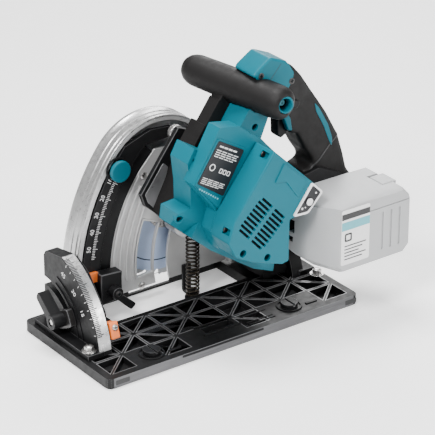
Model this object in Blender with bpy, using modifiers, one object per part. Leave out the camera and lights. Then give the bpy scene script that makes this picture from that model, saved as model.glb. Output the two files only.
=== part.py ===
"""Cordless plunge-cut circular saw with a 165 mm blade on a guide base.

Lengths in this script are millimetres, and MM turns them into metres. The base frame has +X towards
the rear of the saw, +Y towards the blade side and +Z up, with its zero at the base plate's front
corner on the motor side. The whole model is then shifted so that the world origin is the middle of
the sole.
"""
import math

import bmesh
import bpy
from mathutils import Vector

MM = 0.001
GAP = 0.3

# Base plate
BASE_LENGTH = 341.0
BASE_WIDTH = 170.0
BASE_HEIGHT = 12.0
SOLE_THICKNESS = 4.0
CORNER_RADIUS = 8.0
OPENING_X = (78.0, 262.0)
OPENING_Y = (106.0, 166.5)

# Bevel: the case tilts about a line along X that lies in the sole
BEVEL_Y = 158.0
QUADRANT_RADIUS = 111.0
QUADRANT_FRONT_X = 20.0
QUADRANT_THICKNESS = 16.0
CLAMP_RADIUS = 62.0
CLAMP_ANGLE = math.radians(36.0)

# Plunge: the head swings about a line along Y behind the blade
PIVOT_X = 288.0
PIVOT_Z = 50.0
HEAD_TILT = math.radians(30.0)

PIN_RADIUS = 6.0
LUG_Y = ((86.0, 94.0), (129.0, 137.0))
REAR_QUADRANT_X = 304.0
REAR_QUADRANT_RADIUS = 84.0
REAR_CLAMP_RADIUS = 52.0

# Return spring
SPRING_X = 192.0
SPRING_Y = 116.0
SPRING_SEAT_Z = 6.0
SPRING_TOP_Z = 88.7
SPRING_COILS = 11
SPRING_RADIUS = 7.2

# Blade case
CASE_Y = (138.0, 168.0)
CASE_WALL = 4.0
COVER_Y = 139.5
CASE_BOTTOM = 18.0
FRONT_ARC_RADIUS = 240.0
GUIDE_OUTER_RADIUS = 231.0
GUIDE_INNER_RADIUS = 208.0
COVER_OUTER_RADIUS = 192.0
WINDOW_RADII = (136.0, 157.0)
SLOT_HALF_WIDTH = 9.0
SCORING_X = 104.9
SCORING_Z = 180.7
NOZZLE_Y = 152.0
NOZZLE_Z = 104.0

# Blade
BLADE_Y = 154.0
BLADE_RADIUS = 82.5
BLADE_THICKNESS = 1.4
BLADE_TEETH = 28
SPINDLE_X = -123.9
SPINDLE_Z = -6.2
SPINDLE_RADIUS = 7.5

# Gears
GEAR_MODULE = 1.5
MOTOR_PINION_TEETH = 12
FIRST_GEAR_TEETH = 25
SECOND_PINION_TEETH = 9
BLADE_GEAR_TEETH = 17
GEAR_TRAIN_ANGLE = math.radians(110.0)

# Motor and casings, as levels along Y
CAP_Y = (-22.0, 12.0)
HOUSING_Y = (12.3, 62.0)
BODY_Y = (62.3, 98.0)
GEARCASE_Y = (98.3, 126.0)
WALL = 3.0

# Battery pack, which stays level while the head is raised
BATTERY_X = (258.0, 377.0)
BATTERY_Y = (-45.0, 24.0)
BATTERY_Z = (74.0, 155.0)

# Handle
HANDLE_Y = (30.0, 66.0)
BAR_NEAR = (233.0, -2.0, 272.0)
BAR_FAR = (197.0, 118.0, 283.0)
BAR_RADIUS = 18.0


# ---------------------------------------------------------------- scene and materials

def clear_scene():
    for item in list(bpy.data.objects):
        bpy.data.objects.remove(item, do_unlink=True)


def new_collection(name):
    collection = bpy.data.collections.new(name)
    bpy.context.scene.collection.children.link(collection)
    return collection


def new_material(name, colour, roughness, metallic=0.0):
    material = bpy.data.materials.new(name)
    material.use_nodes = True
    shader = material.node_tree.nodes["Principled BSDF"]
    shader.inputs["Base Color"].default_value = (*colour, 1.0)
    shader.inputs["Roughness"].default_value = roughness
    shader.inputs["Metallic"].default_value = metallic
    material.diffuse_color = (*colour, 1.0)
    return material


clear_scene()
PARTS = new_collection("plunge_saw")
CUTTERS = new_collection("plunge_saw_cutters")

TEAL = new_material("teal_plastic", (0.02, 0.33, 0.40), 0.38)
BLACK = new_material("black_plastic", (0.03, 0.03, 0.032), 0.55)
GRIP = new_material("grip_rubber", (0.045, 0.042, 0.042), 0.75)
CAST_BLACK = new_material("black_casting", (0.035, 0.035, 0.037), 0.42, 0.6)
CAST_SILVER = new_material("silver_casting", (0.52, 0.52, 0.51), 0.36, 0.9)
STEEL = new_material("steel", (0.62, 0.61, 0.59), 0.28, 1.0)
DARK_STEEL = new_material("dark_steel", (0.10, 0.10, 0.10), 0.4, 0.9)
BLADE_FACE = new_material("blade_coating", (0.62, 0.68, 0.80), 0.35, 0.3)
ORANGE = new_material("orange_plastic", (0.85, 0.28, 0.05), 0.45)
PALE = new_material("pale_plastic", (0.55, 0.56, 0.57), 0.5)
WHITE = new_material("white_plastic", (0.85, 0.85, 0.85), 0.5)
COPPER = new_material("copper", (0.72, 0.36, 0.18), 0.35, 0.9)
GREEN = new_material("circuit_board", (0.03, 0.20, 0.09), 0.5)


# ---------------------------------------------------------------- frames

def frame(name, parent, at, tilt=0.0):
    empty = bpy.data.objects.new(name, None)
    empty.empty_display_size = 0.02
    PARTS.objects.link(empty)
    empty.parent = parent
    empty.location = [value * MM for value in at]
    empty.rotation_euler = (0.0, tilt, 0.0)
    return empty


BASE = frame("base_datum", None, (-BASE_LENGTH / 2, -BASE_WIDTH / 2, 0.0))
BEVEL_AXIS = frame("bevel_axis", BASE, (0.0, BEVEL_Y, 0.0))
CASE = frame("case_datum", BEVEL_AXIS, (0.0, -BEVEL_Y, 0.0))
HEAD = frame("plunge_axis", CASE, (PIVOT_X, 0.0, PIVOT_Z), HEAD_TILT)


def head_point(x, z):
    """A point of the raised head's own frame for a point of the base frame."""
    dx = x - PIVOT_X
    dz = z - PIVOT_Z
    cos = math.cos(HEAD_TILT)
    sin = math.sin(HEAD_TILT)
    return dx * cos - dz * sin, dx * sin + dz * cos


# ---------------------------------------------------------------- shape builders

def finish(obj, parent, material, collection=None):
    (collection or PARTS).objects.link(obj)
    obj.parent = parent
    if material is not None:
        obj.data.materials.append(material)
    if collection is CUTTERS:
        obj.hide_render = True
        obj.display_type = "WIRE"
    return obj


def mesh_object(name, bm):
    bmesh.ops.remove_doubles(bm, verts=bm.verts, dist=1e-6)
    bmesh.ops.recalc_face_normals(bm, faces=bm.faces)
    mesh = bpy.data.meshes.new(name)
    bm.to_mesh(mesh)
    bm.free()
    mesh.shade_smooth()
    mesh.set_sharp_from_angle(angle=math.radians(35.0))
    return bpy.data.objects.new(name, mesh)


def outline_curve(loops, half):
    curve = bpy.data.curves.new("outline", "CURVE")
    curve.dimensions = "2D"
    curve.fill_mode = "BOTH"
    curve.extrude = half * MM
    for loop in loops:
        spline = curve.splines.new("POLY")
        spline.points.add(len(loop) - 1)
        for point, (u, v) in zip(spline.points, loop):
            point.co = (u * MM, v * MM, 0.0, 1.0)
        spline.use_cyclic_u = True
    return curve


def placed(axis, u, v, w):
    """Outline coordinates u, v and a level w along the axis, as x, y, z in metres."""
    order = {"Z": (u, v, w * MM), "Y": (u, w * MM, v), "X": (w * MM, u, v)}
    return order[axis]


def slab(name, loops, axis, low, high, material=None, parent=None, cutter=False):
    """A flat outline, with holes after the first loop, between two levels of an axis."""
    if not isinstance(loops[0], list):
        loops = [loops]
    curve = outline_curve(loops, (high - low) / 2)
    helper = bpy.data.objects.new("outline", curve)
    bpy.context.scene.collection.objects.link(helper)
    bpy.context.view_layer.update()
    evaluated = helper.evaluated_get(bpy.context.evaluated_depsgraph_get())
    mesh = bpy.data.meshes.new_from_object(evaluated)
    bpy.data.objects.remove(helper, do_unlink=True)
    bpy.data.curves.remove(curve)
    bm = bmesh.new()
    bm.from_mesh(mesh)
    bpy.data.meshes.remove(mesh)
    for vert in bm.verts:
        vert.co = placed(axis, vert.co.x, vert.co.y, low if vert.co.z < 0.0 else high)
    return finish(mesh_object(name, bm), parent, material, CUTTERS if cutter else None)


def block(name, low, high, material=None, parent=None, cutter=False, bevel=0.0):
    """A box between two corners, with its edges rounded by one facet."""
    bm = bmesh.new()
    bmesh.ops.create_cube(bm, size=1.0)
    for vert in bm.verts:
        vert.co = [(lo + (co + 0.5) * (hi - lo)) * MM for lo, hi, co in zip(low, high, vert.co)]
    if bevel:
        bmesh.ops.bevel(bm, geom=bm.edges, offset=bevel * MM, segments=1, affect="EDGES")
    return finish(mesh_object(name, bm), parent, material, CUTTERS if cutter else None)


def disc(name, radius, axis, low, high, material=None, parent=None, at=(0, 0), cutter=False,
         sides=24, end_radius=None):
    """A cylinder or cone along an axis, centred at two coordinates across it."""
    bm = bmesh.new()
    bmesh.ops.create_cone(bm, cap_ends=True, segments=sides, radius1=radius * MM,
                          radius2=(radius if end_radius is None else end_radius) * MM,
                          depth=(high - low) * MM)
    for vert in bm.verts:
        level = low if vert.co.z < 0.0 else high
        vert.co = placed(axis, vert.co.x + at[0] * MM, vert.co.y + at[1] * MM, level)
    return finish(mesh_object(name, bm), parent, material, CUTTERS if cutter else None)


def turned(name, profile, material, parent, at=(0, 0), steps=24):
    """A closed profile of (radius, y) turned about a line along Y; runs outer side first, +Y down."""
    bm = bmesh.new()
    verts = [bm.verts.new((radius * MM, 0.0, -y * MM)) for radius, y in profile]
    for first, second in zip(verts, verts[1:]):
        bm.edges.new((first, second))
    if profile[0][0] > 0.0 and profile[-1][0] > 0.0:
        bm.edges.new((verts[-1], verts[0]))
    mesh = bpy.data.meshes.new(name)
    bm.to_mesh(mesh)
    bm.free()
    obj = bpy.data.objects.new(name, mesh)
    screw = obj.modifiers.new("turn", "SCREW")
    screw.axis = "Z"
    screw.steps = steps
    screw.render_steps = steps
    screw.use_merge_vertices = True
    screw.merge_threshold = 0.00001
    screw.use_smooth_shade = True
    obj.rotation_euler = (math.pi / 2, 0.0, 0.0)
    obj.location = (at[0] * MM, 0.0, at[1] * MM)
    return finish(obj, parent, material)


def tube(name, points, radius, material=None, parent=None, resolution=3, cutter=False):
    """A round bar along straight stretches between points."""
    curve = bpy.data.curves.new(name, "CURVE")
    curve.dimensions = "3D"
    curve.bevel_depth = radius * MM
    curve.bevel_resolution = resolution
    curve.use_fill_caps = True
    spline = curve.splines.new("POLY")
    spline.points.add(len(points) - 1)
    for point, co in zip(spline.points, points):
        point.co = (*[value * MM for value in co], 1.0)
    helper = bpy.data.objects.new(name, curve)
    bpy.context.scene.collection.objects.link(helper)
    bpy.context.view_layer.update()
    mesh = bpy.data.meshes.new_from_object(helper.evaluated_get(bpy.context.evaluated_depsgraph_get()))
    bpy.data.objects.remove(helper, do_unlink=True)
    bm = bmesh.new()
    bm.from_mesh(mesh)
    bpy.data.meshes.remove(mesh)
    return finish(mesh_object(name, bm), parent, material, CUTTERS if cutter else None)


def group(name, pieces, material, parent):
    """Several separate solids in one mesh, used for a set of cutters."""
    bpy.context.view_layer.update()
    bm = bmesh.new()
    for piece in pieces:
        mesh = piece.data.copy()
        mesh.transform(piece.matrix_basis)
        bm.from_mesh(mesh)
        bpy.data.meshes.remove(mesh)
        bpy.data.objects.remove(piece, do_unlink=True)
    mesh = bpy.data.meshes.new(name)
    bm.to_mesh(mesh)
    bm.free()
    mesh.shade_smooth()
    mesh.set_sharp_from_angle(angle=math.radians(35.0))
    return finish(bpy.data.objects.new(name, mesh), parent, material)


def combine(obj, tool, operation):
    modifier = obj.modifiers.new(operation.lower(), "BOOLEAN")
    modifier.operation = operation
    modifier.object = tool
    return obj


def cut(obj, *tools):
    for tool in tools:
        combine(obj, tool, "DIFFERENCE")
    return obj


def join(obj, *tools):
    for tool in tools:
        combine(obj, tool, "UNION")
    return obj


def arc(centre, radius, start, end, steps):
    """Points of an arc; angles in degrees, anticlockwise from the first axis."""
    points = []
    for index in range(steps + 1):
        angle = math.radians(start + (end - start) * index / steps)
        points.append((centre[0] + radius * math.cos(angle), centre[1] + radius * math.sin(angle)))
    return points


def rounded(points, radius, steps=2):
    """An outline with each corner replaced by a short curve."""
    result = []
    count = len(points)
    for index, corner in enumerate(points):
        before = points[index - 1]
        after = points[(index + 1) % count]
        ends = []
        for other in (before, after):
            length = math.dist(corner, other)
            reach = min(radius, length * 0.45)
            ends.append([c + (o - c) * reach / length for c, o in zip(corner, other)])
        for step in range(steps + 1):
            t = step / steps
            result.append(tuple((1 - t) ** 2 * a + 2 * t * (1 - t) * c + t ** 2 * b
                                for a, c, b in zip(ends[0], corner, ends[1])))
    return result


def inset(points, distance):
    """An outline moved inwards by a distance; the outline runs anticlockwise."""
    area = sum(a[0] * b[1] - b[0] * a[1] for a, b in zip(points, points[1:] + points[:1]))
    side = 1.0 if area > 0 else -1.0
    result = []
    count = len(points)
    for index, corner in enumerate(points):
        before = points[index - 1]
        after = points[(index + 1) % count]
        normals = []
        for first, second in ((before, corner), (corner, after)):
            length = math.dist(first, second)
            normals.append((-(second[1] - first[1]) / length * side, (second[0] - first[0]) / length * side))
        mean = (normals[0][0] + normals[1][0], normals[0][1] + normals[1][1])
        size = mean[0] ** 2 + mean[1] ** 2
        result.append((corner[0] + mean[0] * 2 * distance / size, corner[1] + mean[1] * 2 * distance / size))
    return result


def rectangle(low, high):
    return [(low[0], low[1]), (high[0], low[1]), (high[0], high[1]), (low[0], high[1])]


# ---------------------------------------------------------------- base

RIB_HALF_WIDTH = 1.6
TRUSS_X = [8.0 + 36.1 * index for index in range(10)]
TRUSS_Y = [8.0, 40.0, 71.0, 101.0]
ADJUSTER_X = (71.0, 259.0)
ADJUSTER_Y = 23.0
LEVEL_SLOT = ((146.0, 26.0), (185.0, 37.0))


def truss_pockets():
    """Triangular pockets between the ribs of the base; the cells with fittings stay solid."""
    pockets = []
    for column in range(len(TRUSS_X) - 1):
        for row in range(len(TRUSS_Y) - 1):
            left = TRUSS_X[column]
            right = TRUSS_X[column + 1]
            near = TRUSS_Y[row]
            far = TRUSS_Y[row + 1]
            if row == 0 and any(left - 2 < x < right + 2 for x in (*ADJUSTER_X, 150.0, 182.0)):
                continue
            if (column + row) % 2:
                halves = [[(left, near), (right, near), (left, far)], [(right, near), (right, far), (left, far)]]
            else:
                halves = [[(left, near), (right, near), (right, far)], [(left, near), (right, far), (left, far)]]
            pockets += [inset(half, RIB_HALF_WIDTH) for half in halves]
    return pockets


def build_base():
    outline = rounded(rectangle((0, 0), (BASE_LENGTH, BASE_WIDTH)), CORNER_RADIUS, 3)
    opening = rectangle((OPENING_X[0], OPENING_Y[0]), (OPENING_X[1], OPENING_Y[1]))
    slot = rectangle(*LEVEL_SLOT)
    corner_holes = [rectangle((10, 44), (16, 50)), rectangle((13, 20), (24, 29)), rectangle((322, 20), (331, 28))]
    plate = slab("base_plate", [outline, opening, slot] + corner_holes, "Z", 0.0, BASE_HEIGHT, CAST_BLACK, BASE)
    pieces = [slab("pocket", pocket, "Z", SOLE_THICKNESS, BASE_HEIGHT + 1.0) for pocket in truss_pockets()]
    cut(plate, as_cutter(group("base_pockets", pieces, None, BASE)))
    cut(plate, block("flange_notch", (138.0, 160.0, 3.0), (196.0, BASE_WIDTH + 1.0, BASE_HEIGHT + 1.0),
                     parent=BASE, cutter=True))
    for x in ADJUSTER_X:
        cut(plate, disc("adjuster_bore", 6.5, "Z", -1.0, BASE_HEIGHT + 1.0, parent=BASE, at=(x, ADJUSTER_Y),
                        cutter=True))
    for end, x in (("front", 13.0), ("rear", 326.0)):
        disc(f"base_bolt_{end}", 5.5, "Z", QUADRANT_FOOT_TOP + GAP, QUADRANT_FOOT_TOP + 6.0, STEEL, BASE,
             (x, 58.0), sides=6)
    for end, x in zip(("front", "rear"), ADJUSTER_X):
        frame_here = frame(f"adjuster_axis_{end}", BASE, (x, ADJUSTER_Y, 0.0))
        knob = disc(f"rail_adjuster_{end}", 10.0, "Z", BASE_HEIGHT + GAP, BASE_HEIGHT + 6.0, BLACK, frame_here,
                    sides=16)
        join(knob, disc("adjuster_cam", 6.0, "Z", 3.0, BASE_HEIGHT + 2.0, parent=frame_here, cutter=True))
        cut(knob, block("adjuster_grip", (-1.2, -12.0, BASE_HEIGHT + 4.0), (1.2, 12.0, BASE_HEIGHT + 8.0),
                        parent=frame_here, cutter=True))


def as_cutter(obj):
    for collection in list(obj.users_collection):
        collection.objects.unlink(obj)
    CUTTERS.objects.link(obj)
    obj.hide_render = True
    obj.display_type = "WIRE"
    return obj


QUADRANT_FOOT_TOP = BASE_HEIGHT + GAP + 6.0


def quadrant_point(radius, degrees):
    """A point in the YZ plane at an angle above the motor side, about the bevel axis."""
    angle = math.radians(degrees)
    return BEVEL_Y - radius * math.cos(angle), radius * math.sin(angle)


def quadrant_arc(radius, start, end, steps):
    return [quadrant_point(radius, start + (end - start) * index / steps) for index in range(steps + 1)]


def build_quadrant(name, x_low, radius, slot_radius, foot_x):
    """An upright arc plate with a curved slot for the bevel clamp, on a flat foot."""
    bottom = BASE_HEIGHT + GAP
    x_high = x_low + QUADRANT_THICKNESS
    start = math.degrees(math.asin(bottom / radius))
    outline = quadrant_arc(radius, start, 70.0, 10)
    outline += [(BEVEL_Y - 5.0, radius - 12.0), (BEVEL_Y - 1.0, radius - 18.0), (BEVEL_Y - 1.0, bottom)]
    plate = slab(name, outline, "X", x_low, x_high, CAST_BLACK, BASE)
    slot = quadrant_arc(slot_radius + 5.0, 25.0, 100.0, 12) + quadrant_arc(slot_radius - 5.0, 100.0, 25.0, 12)
    cut(plate, slab(name + "_slot", slot, "X", x_low - 1.0, x_high + 1.0, parent=BASE, cutter=True))
    foot = block(name + "_foot", (foot_x[0], BEVEL_Y - radius, bottom), (foot_x[1], BEVEL_Y - 2.0, QUADRANT_FOOT_TOP),
                 parent=BASE, cutter=True)
    return join(plate, foot)


# ---------------------------------------------------------------- blade case

def case_outline(grow=0.0):
    """Side outline of the blade case: an arc about the plunge axis, then the crown and the back."""
    front = (292.0, 50.0)
    crown = (162.0, 151.6)
    back = (121.8, 94.2)
    points = [(54.3 - grow, CASE_BOTTOM)]
    points += arc(front, FRONT_ARC_RADIUS + grow, 180.0, 142.0, 9)
    points += arc(crown, 75.0 + grow, 138.0, 58.0, 9)
    points += arc(back, 145.0 + grow, 52.0, 0.0, 7)
    points += [(266.8 + grow, CASE_BOTTOM)]
    return points


def plunge_arc(radius, start, end, steps):
    """Points about the plunge axis at angles above the line that runs forwards from it."""
    points = []
    for index in range(steps + 1):
        angle = math.radians(start + (end - start) * index / steps)
        points.append((PIVOT_X - radius * math.cos(angle), PIVOT_Z + radius * math.sin(angle)))
    return points


def build_case():
    outer = case_outline()
    case = slab("blade_case", outer, "Y", CASE_Y[0], CASE_Y[1], CAST_SILVER, CASE)
    inner = case_outline(-CASE_WALL)
    inner[0] = (inner[0][0], CASE_BOTTOM - 5.0)
    inner[-1] = (inner[-1][0], CASE_BOTTOM - 5.0)
    cut(case, slab("case_cavity", inner, "Y", CASE_Y[0] - 1.0, CASE_Y[1] - CASE_WALL, parent=CASE, cutter=True))
    cut(case, disc("bolt_access", 20.0, "Y", CASE_Y[1] - CASE_WALL - 1.0, CASE_Y[1] + 1.0, parent=CASE,
                   at=(166.2, 26.5), cutter=True))
    cut(case, disc("outlet", 9.0, "X", 250.0, 270.0, parent=CASE, at=(NOZZLE_Y, NOZZLE_Z), cutter=True))


def build_guide():
    """Black front lining of the case that carries the depth scale, with the groove of the depth stop."""
    outline = plunge_arc(GUIDE_OUTER_RADIUS, -7.0, 42.0, 10)
    outline += [(150.0, 216.0), (178.0, 214.0), (176.0, 202.0)]
    outline += plunge_arc(GUIDE_INNER_RADIUS, 46.0, -7.0, 10)
    guide = slab("depth_guide", outline, "Y", CASE_Y[0] - 2.0, CASE_Y[0] + 3.0, BLACK, CASE)
    cut(guide, disc("button_hole", 5.0 + GAP, "Y", CASE_Y[0] - 3.0, CASE_Y[0] + 4.0, parent=CASE,
                    at=(SCORING_X, SCORING_Z), cutter=True, sides=16))


def cover_outline():
    outline = plunge_arc(COVER_OUTER_RADIUS, -8.0, 38.0, 8)
    outline += [(158.0, 190.0), (205.0, 186.0), (240.0, 150.0), (256.0, 110.0), (256.0, 24.0)]
    return outline


def build_inner_cover():
    """Silver cover on the motor side with a window on the blade and the arc slot of the spindle."""
    radius = math.hypot(SPINDLE_X, SPINDLE_Z)
    window = plunge_arc(WINDOW_RADII[1], -4.0, 21.0, 6) + plunge_arc(WINDOW_RADII[0], 21.0, -4.0, 6)
    slot = plunge_arc(radius + SLOT_HALF_WIDTH, -20.0, 34.0, 12)
    slot += plunge_arc(radius - SLOT_HALF_WIDTH, 34.0, -20.0, 12)
    cover = slab("inner_cover", [cover_outline(), window], "Y", COVER_Y, COVER_Y + 3.0, CAST_SILVER, CASE)
    cut(cover, slab("spindle_slot", slot, "Y", CASE_Y[0] - 1.0, CASE_Y[0] + 8.0, parent=CASE, cutter=True))


def build_brackets():
    """Cast brackets that hold the case on the two quadrants, and the head on its plunge pin."""
    low_x = QUADRANT_FRONT_X + QUADRANT_THICKNESS + 2.0
    arm = [(72.5, 24.0), (80.0, CASE_BOTTOM), (156.0, CASE_BOTTOM), (156.0, 84.0), (128.0, 96.0), (104.0, 84.0),
           (72.5, 48.0)]
    front = slab("case_bracket_front", arm, "X", low_x, low_x + 8.0, CAST_BLACK, CASE)
    join(front, block("bracket_tab", (low_x + 6.0, 128.0, 22.0), (51.0, 156.0, 56.0), parent=CASE, cutter=True))
    rear_high = REAR_QUADRANT_X - 2.0
    rear = block("pivot_bracket", (269.0, 84.0, CASE_BOTTOM), (rear_high, 156.0, 32.0), CAST_BLACK, CASE)
    for low_y, high_y in LUG_Y:
        lug = [(PIVOT_X - 15.0, CASE_BOTTOM + 4.0)] + arc((PIVOT_X, PIVOT_Z), 12.0, 165.0, 15.0, 6)
        lug += [(rear_high, CASE_BOTTOM + 4.0)]
        join(rear, slab("pivot_lug", lug, "Y", low_y, high_y, parent=CASE, cutter=True))
    join(rear, block("bracket_back", (269.0, 139.0, 30.0), (281.0, 156.0, 74.0), parent=CASE, cutter=True))
    cut(rear, disc("pin_bore", PIN_RADIUS + GAP, "Y", 80.0, 142.0, parent=CASE, at=(PIVOT_X, PIVOT_Z),
                   cutter=True))
    disc("plunge_pin", PIN_RADIUS, "Y", 85.0, 138.5, STEEL, CASE, (PIVOT_X, PIVOT_Z), sides=20)


def build_clamp():
    """Bolt and pressure plate of the bevel clamp, and its lever on the bolt's axis."""
    bolt_x, plate_x, lever_x = (7.0, 37.7), (12.0, 19.5), (-4.0, 11.5)
    y, z = quadrant_point(CLAMP_RADIUS, math.degrees(CLAMP_ANGLE))
    bolt = disc("clamp_bolt_front", 4.0, "X", bolt_x[0], bolt_x[1], STEEL, CASE, (y, z), sides=16)
    plate = [(y - 17.0, z - 4.0), (y + 8.0, z - 17.0), (y + 17.0, z + 2.0), (y - 8.0, z + 15.0)]
    join(bolt, slab("clamp_plate", rounded(plate, 4.0), "X", plate_x[0], plate_x[1], parent=CASE, cutter=True))
    axis = frame("clamp_axis_front", CASE, (0.0, y, z))
    hub = disc("clamp_lever_front", 8.5, "X", lever_x[0], lever_x[1], BLACK, axis, sides=16)
    arm = [(-4.0, 4.0), (4.0, -4.0), (30.0, 18.0), (26.0, 27.0)]
    join(hub, slab("clamp_arm", rounded(arm, 3.0), "X", lever_x[0] + 1.0, lever_x[1] - 1.0, parent=axis, cutter=True))
    cut(hub, disc("clamp_lever_bore", 4.0 + GAP, "X", lever_x[0] - 1.0, lever_x[1] + 1.0, parent=axis, cutter=True,
                  sides=16))


def build_pointer():
    """Orange bevel pointer beside the rim of the front quadrant."""
    low_x = QUADRANT_FRONT_X + QUADRANT_THICKNESS + 2.0
    outline = quadrant_arc(QUADRANT_RADIUS + 1.0, 14.0, 24.0, 2) + quadrant_arc(QUADRANT_RADIUS - 16.0, 24.0, 14.0, 2)
    slab("bevel_pointer", outline, "X", low_x, low_x + 11.0, ORANGE, CASE)


def build_depth_stop():
    """Stop that slides round the guide, with its clamp lever, and the scoring stop button."""
    axis = frame("depth_stop_axis", CASE, (PIVOT_X, 0.0, PIVOT_Z))
    body = [(-x, z) for x, z in sector(216.0, 188.0, -6.0, 4.0)]
    stop = slab("depth_stop", body, "Y", 122.0, CASE_Y[0] - 2.0 - GAP, BLACK, axis)
    tip = [(-x, z) for x, z in sector(224.0, 214.0, 1.0, 4.0)]
    slab("depth_pointer", tip, "Y", 131.0, CASE_Y[0] - 2.0 - GAP, ORANGE, axis)
    cut(stop, slab("pointer_seat", inset(tip, -GAP), "Y", 130.5, CASE_Y[0], parent=axis, cutter=True))
    lever_axis = frame("stop_lever_axis", axis, (-200.0, 0.0, -8.0))
    lever = disc("depth_stop_lever", 7.0, "Y", 112.0, 122.0 - GAP, BLACK, lever_axis, sides=16)
    grip = rounded([(-3.0, 5.0), (-4.0, -4.0), (18.0, -26.0), (25.0, -20.0)], 3.0)
    join(lever, slab("stop_lever_grip", grip, "Y", 113.0, 120.0, parent=lever_axis, cutter=True))
    button_axis = frame("scoring_button_axis", CASE, (SCORING_X, 0.0, SCORING_Z))
    button = disc("scoring_stop_button", 12.5, "Y", 126.0, 131.5, TEAL, button_axis, sides=20)
    join(button, disc("button_stem", 5.0, "Y", 130.0, 138.0, parent=button_axis, cutter=True, sides=16))


def sector(outer, inner, start, end, steps=4):
    """Ring sector about the origin, as distances forwards and up."""
    points = []
    for radius, first, last in ((outer, start, end), (inner, end, start)):
        for index in range(steps + 1):
            angle = math.radians(first + (last - first) * index / steps)
            points.append((radius * math.cos(angle), radius * math.sin(angle)))
    return points


def build_return_spring():
    """Compression spring that lifts the head, with the seat bracket under it."""
    steps = SPRING_COILS * 10
    points = []
    for index in range(steps + 1):
        angle = 2 * math.pi * index / 10
        z = SPRING_SEAT_Z + 1.2 + (SPRING_TOP_Z - SPRING_SEAT_Z - 2.4) * index / steps
        points.append((SPRING_X + SPRING_RADIUS * math.cos(angle), SPRING_Y + SPRING_RADIUS * math.sin(angle), z))
    tube("return_spring", points, 0.9, DARK_STEEL, CASE, resolution=1)
    seat = disc("spring_seat", 9.4, "Z", 2.5, SPRING_SEAT_Z, CAST_BLACK, CASE, (SPRING_X, SPRING_Y))
    join(seat, disc("seat_pin", 4.0, "Z", 4.0, 11.0, parent=CASE, at=(SPRING_X, SPRING_Y), cutter=True, sides=12))
    arm = [(SPRING_Y + 5.0, 2.5), (COVER_Y - 2.0, 2.5), (COVER_Y - GAP, 5.0), (COVER_Y - GAP, 36.0),
           (COVER_Y - 3.5, 36.0), (COVER_Y - 3.5, SPRING_SEAT_Z), (SPRING_Y + 5.0, SPRING_SEAT_Z)]
    join(seat, slab("seat_arm", arm, "X", SPRING_X + 1.0, SPRING_X + 12.0, parent=CASE, cutter=True))


def build_dust_nozzle():
    """Turning dust outlet at the back of the case."""
    axis = frame("nozzle_axis", CASE, (0.0, NOZZLE_Y, NOZZLE_Z))
    nozzle = disc("dust_nozzle", 11.5, "X", 268.0, 312.0, BLACK, axis, sides=24)
    join(nozzle, disc("nozzle_collar", 13.5, "X", 268.0, 276.0, parent=axis, cutter=True))
    cut(nozzle, disc("nozzle_bore", 9.0, "X", 266.0, 314.0, parent=axis, cutter=True))


# ---------------------------------------------------------------- head casings

def towards(origin, distance):
    """A point at a distance from another one along the line of the gear train."""
    return (origin[0] + distance * math.cos(GEAR_TRAIN_ANGLE), origin[1] + distance * math.sin(GEAR_TRAIN_ANGLE))


LEVEL_AXIS = frame("level_axis", HEAD, (0.0, 0.0, 0.0), -HEAD_TILT)
LEVEL = frame("level_datum", LEVEL_AXIS, (-PIVOT_X, 0.0, -PIVOT_Z))

SPINDLE_AT = (SPINDLE_X, SPINDLE_Z)
IDLER_AT = towards(SPINDLE_AT, GEAR_MODULE * (BLADE_GEAR_TEETH + SECOND_PINION_TEETH) / 2)
MOTOR_AT = towards(IDLER_AT, GEAR_MODULE * (FIRST_GEAR_TEETH + MOTOR_PINION_TEETH) / 2)

CAP_OUTLINE = [(-166, 116), (-178, 30), (-173, 6), (-153, -6), (-128, -5), (-87, 3), (-80, 9), (-104, 52), (-86, 65),
               (-77, 94), (-96, 99)]
LABEL_OUTLINE = [(-221, 116), (-221, 49), (-176, 30), (-172, 8), (-150, -8), (-75, -12), (-62, 0), (-100, 50),
                 (-86, 64), (-77, 94), (-96, 100), (-133, 112), (-161, 120.5), (-178, 122), (-196, 125)]
BODY_OUTLINE = [(-226, 84), (-226, 66), (-208, 42), (-196, 22), (-210, 12), (-204, -3), (-164, -11), (-144, -15),
                (-74, -20), (-45, -16), (-52, 5), (-98, 50), (-84, 64), (-75, 94), (-90, 102), (-118, 110),
                (-144, 119), (-147, 144), (-177, 143), (-179, 122), (-178, 111), (-181, 88), (-198, 83)]
GRIP_OUTLINE = [(-192, 80), (-188, 40), (-186, -4), (-164, -11), (-144, -15), (-74, -20), (-45, -16), (-52, 5),
                (-98, 50), (-111, 80)]
STRUT_FOOT = [(-200, 74), (-197, 108), (-123, 108), (-109, 74)]
STRUT_OUTLINE = [(-199, 84), (-196, 110), (-193, 139), (-130, 139), (-120, 100), (-118, 84)]
HOUSING_CAVITY = [(-203, 80), (-203, 60), (-192, 50), (-174, 40), (-172, 10), (-152, -4), (-78, -8), (-60, 2),
                  (-103, 52), (-91, 66), (-83, 92), (-176, 104)]
GRIP_CAVITY = [(-184, 70), (-180, 26), (-168, 4), (-150, -4), (-78, -10), (-62, 2), (-106, 52), (-116, 76),
               (-184, 76)]
MOTOR_BORE = 31.5
VENT_REACH = 30.0
VENT_TILT = math.radians(-17.0)


def vent_slots():
    """Slanted air slots in two columns, kept inside a circle round the motor axis."""
    slots = []
    along = (math.cos(VENT_TILT), math.sin(VENT_TILT))
    across = (-along[1], along[0])
    for side in (-1, 1):
        for row in range(-4, 5):
            v = row * 5.2
            reach = min(math.sqrt(VENT_REACH ** 2 - v ** 2), 24.0)
            ends = sorted((side * 2.5, side * reach))
            corners = rectangle((ends[0], v - 1.5), (ends[1], v + 1.5))
            slots.append([(MOTOR_AT[0] + u * along[0] + w * across[0], MOTOR_AT[1] + u * along[1] + w * across[1])
                          for u, w in corners])
    return slots


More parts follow.
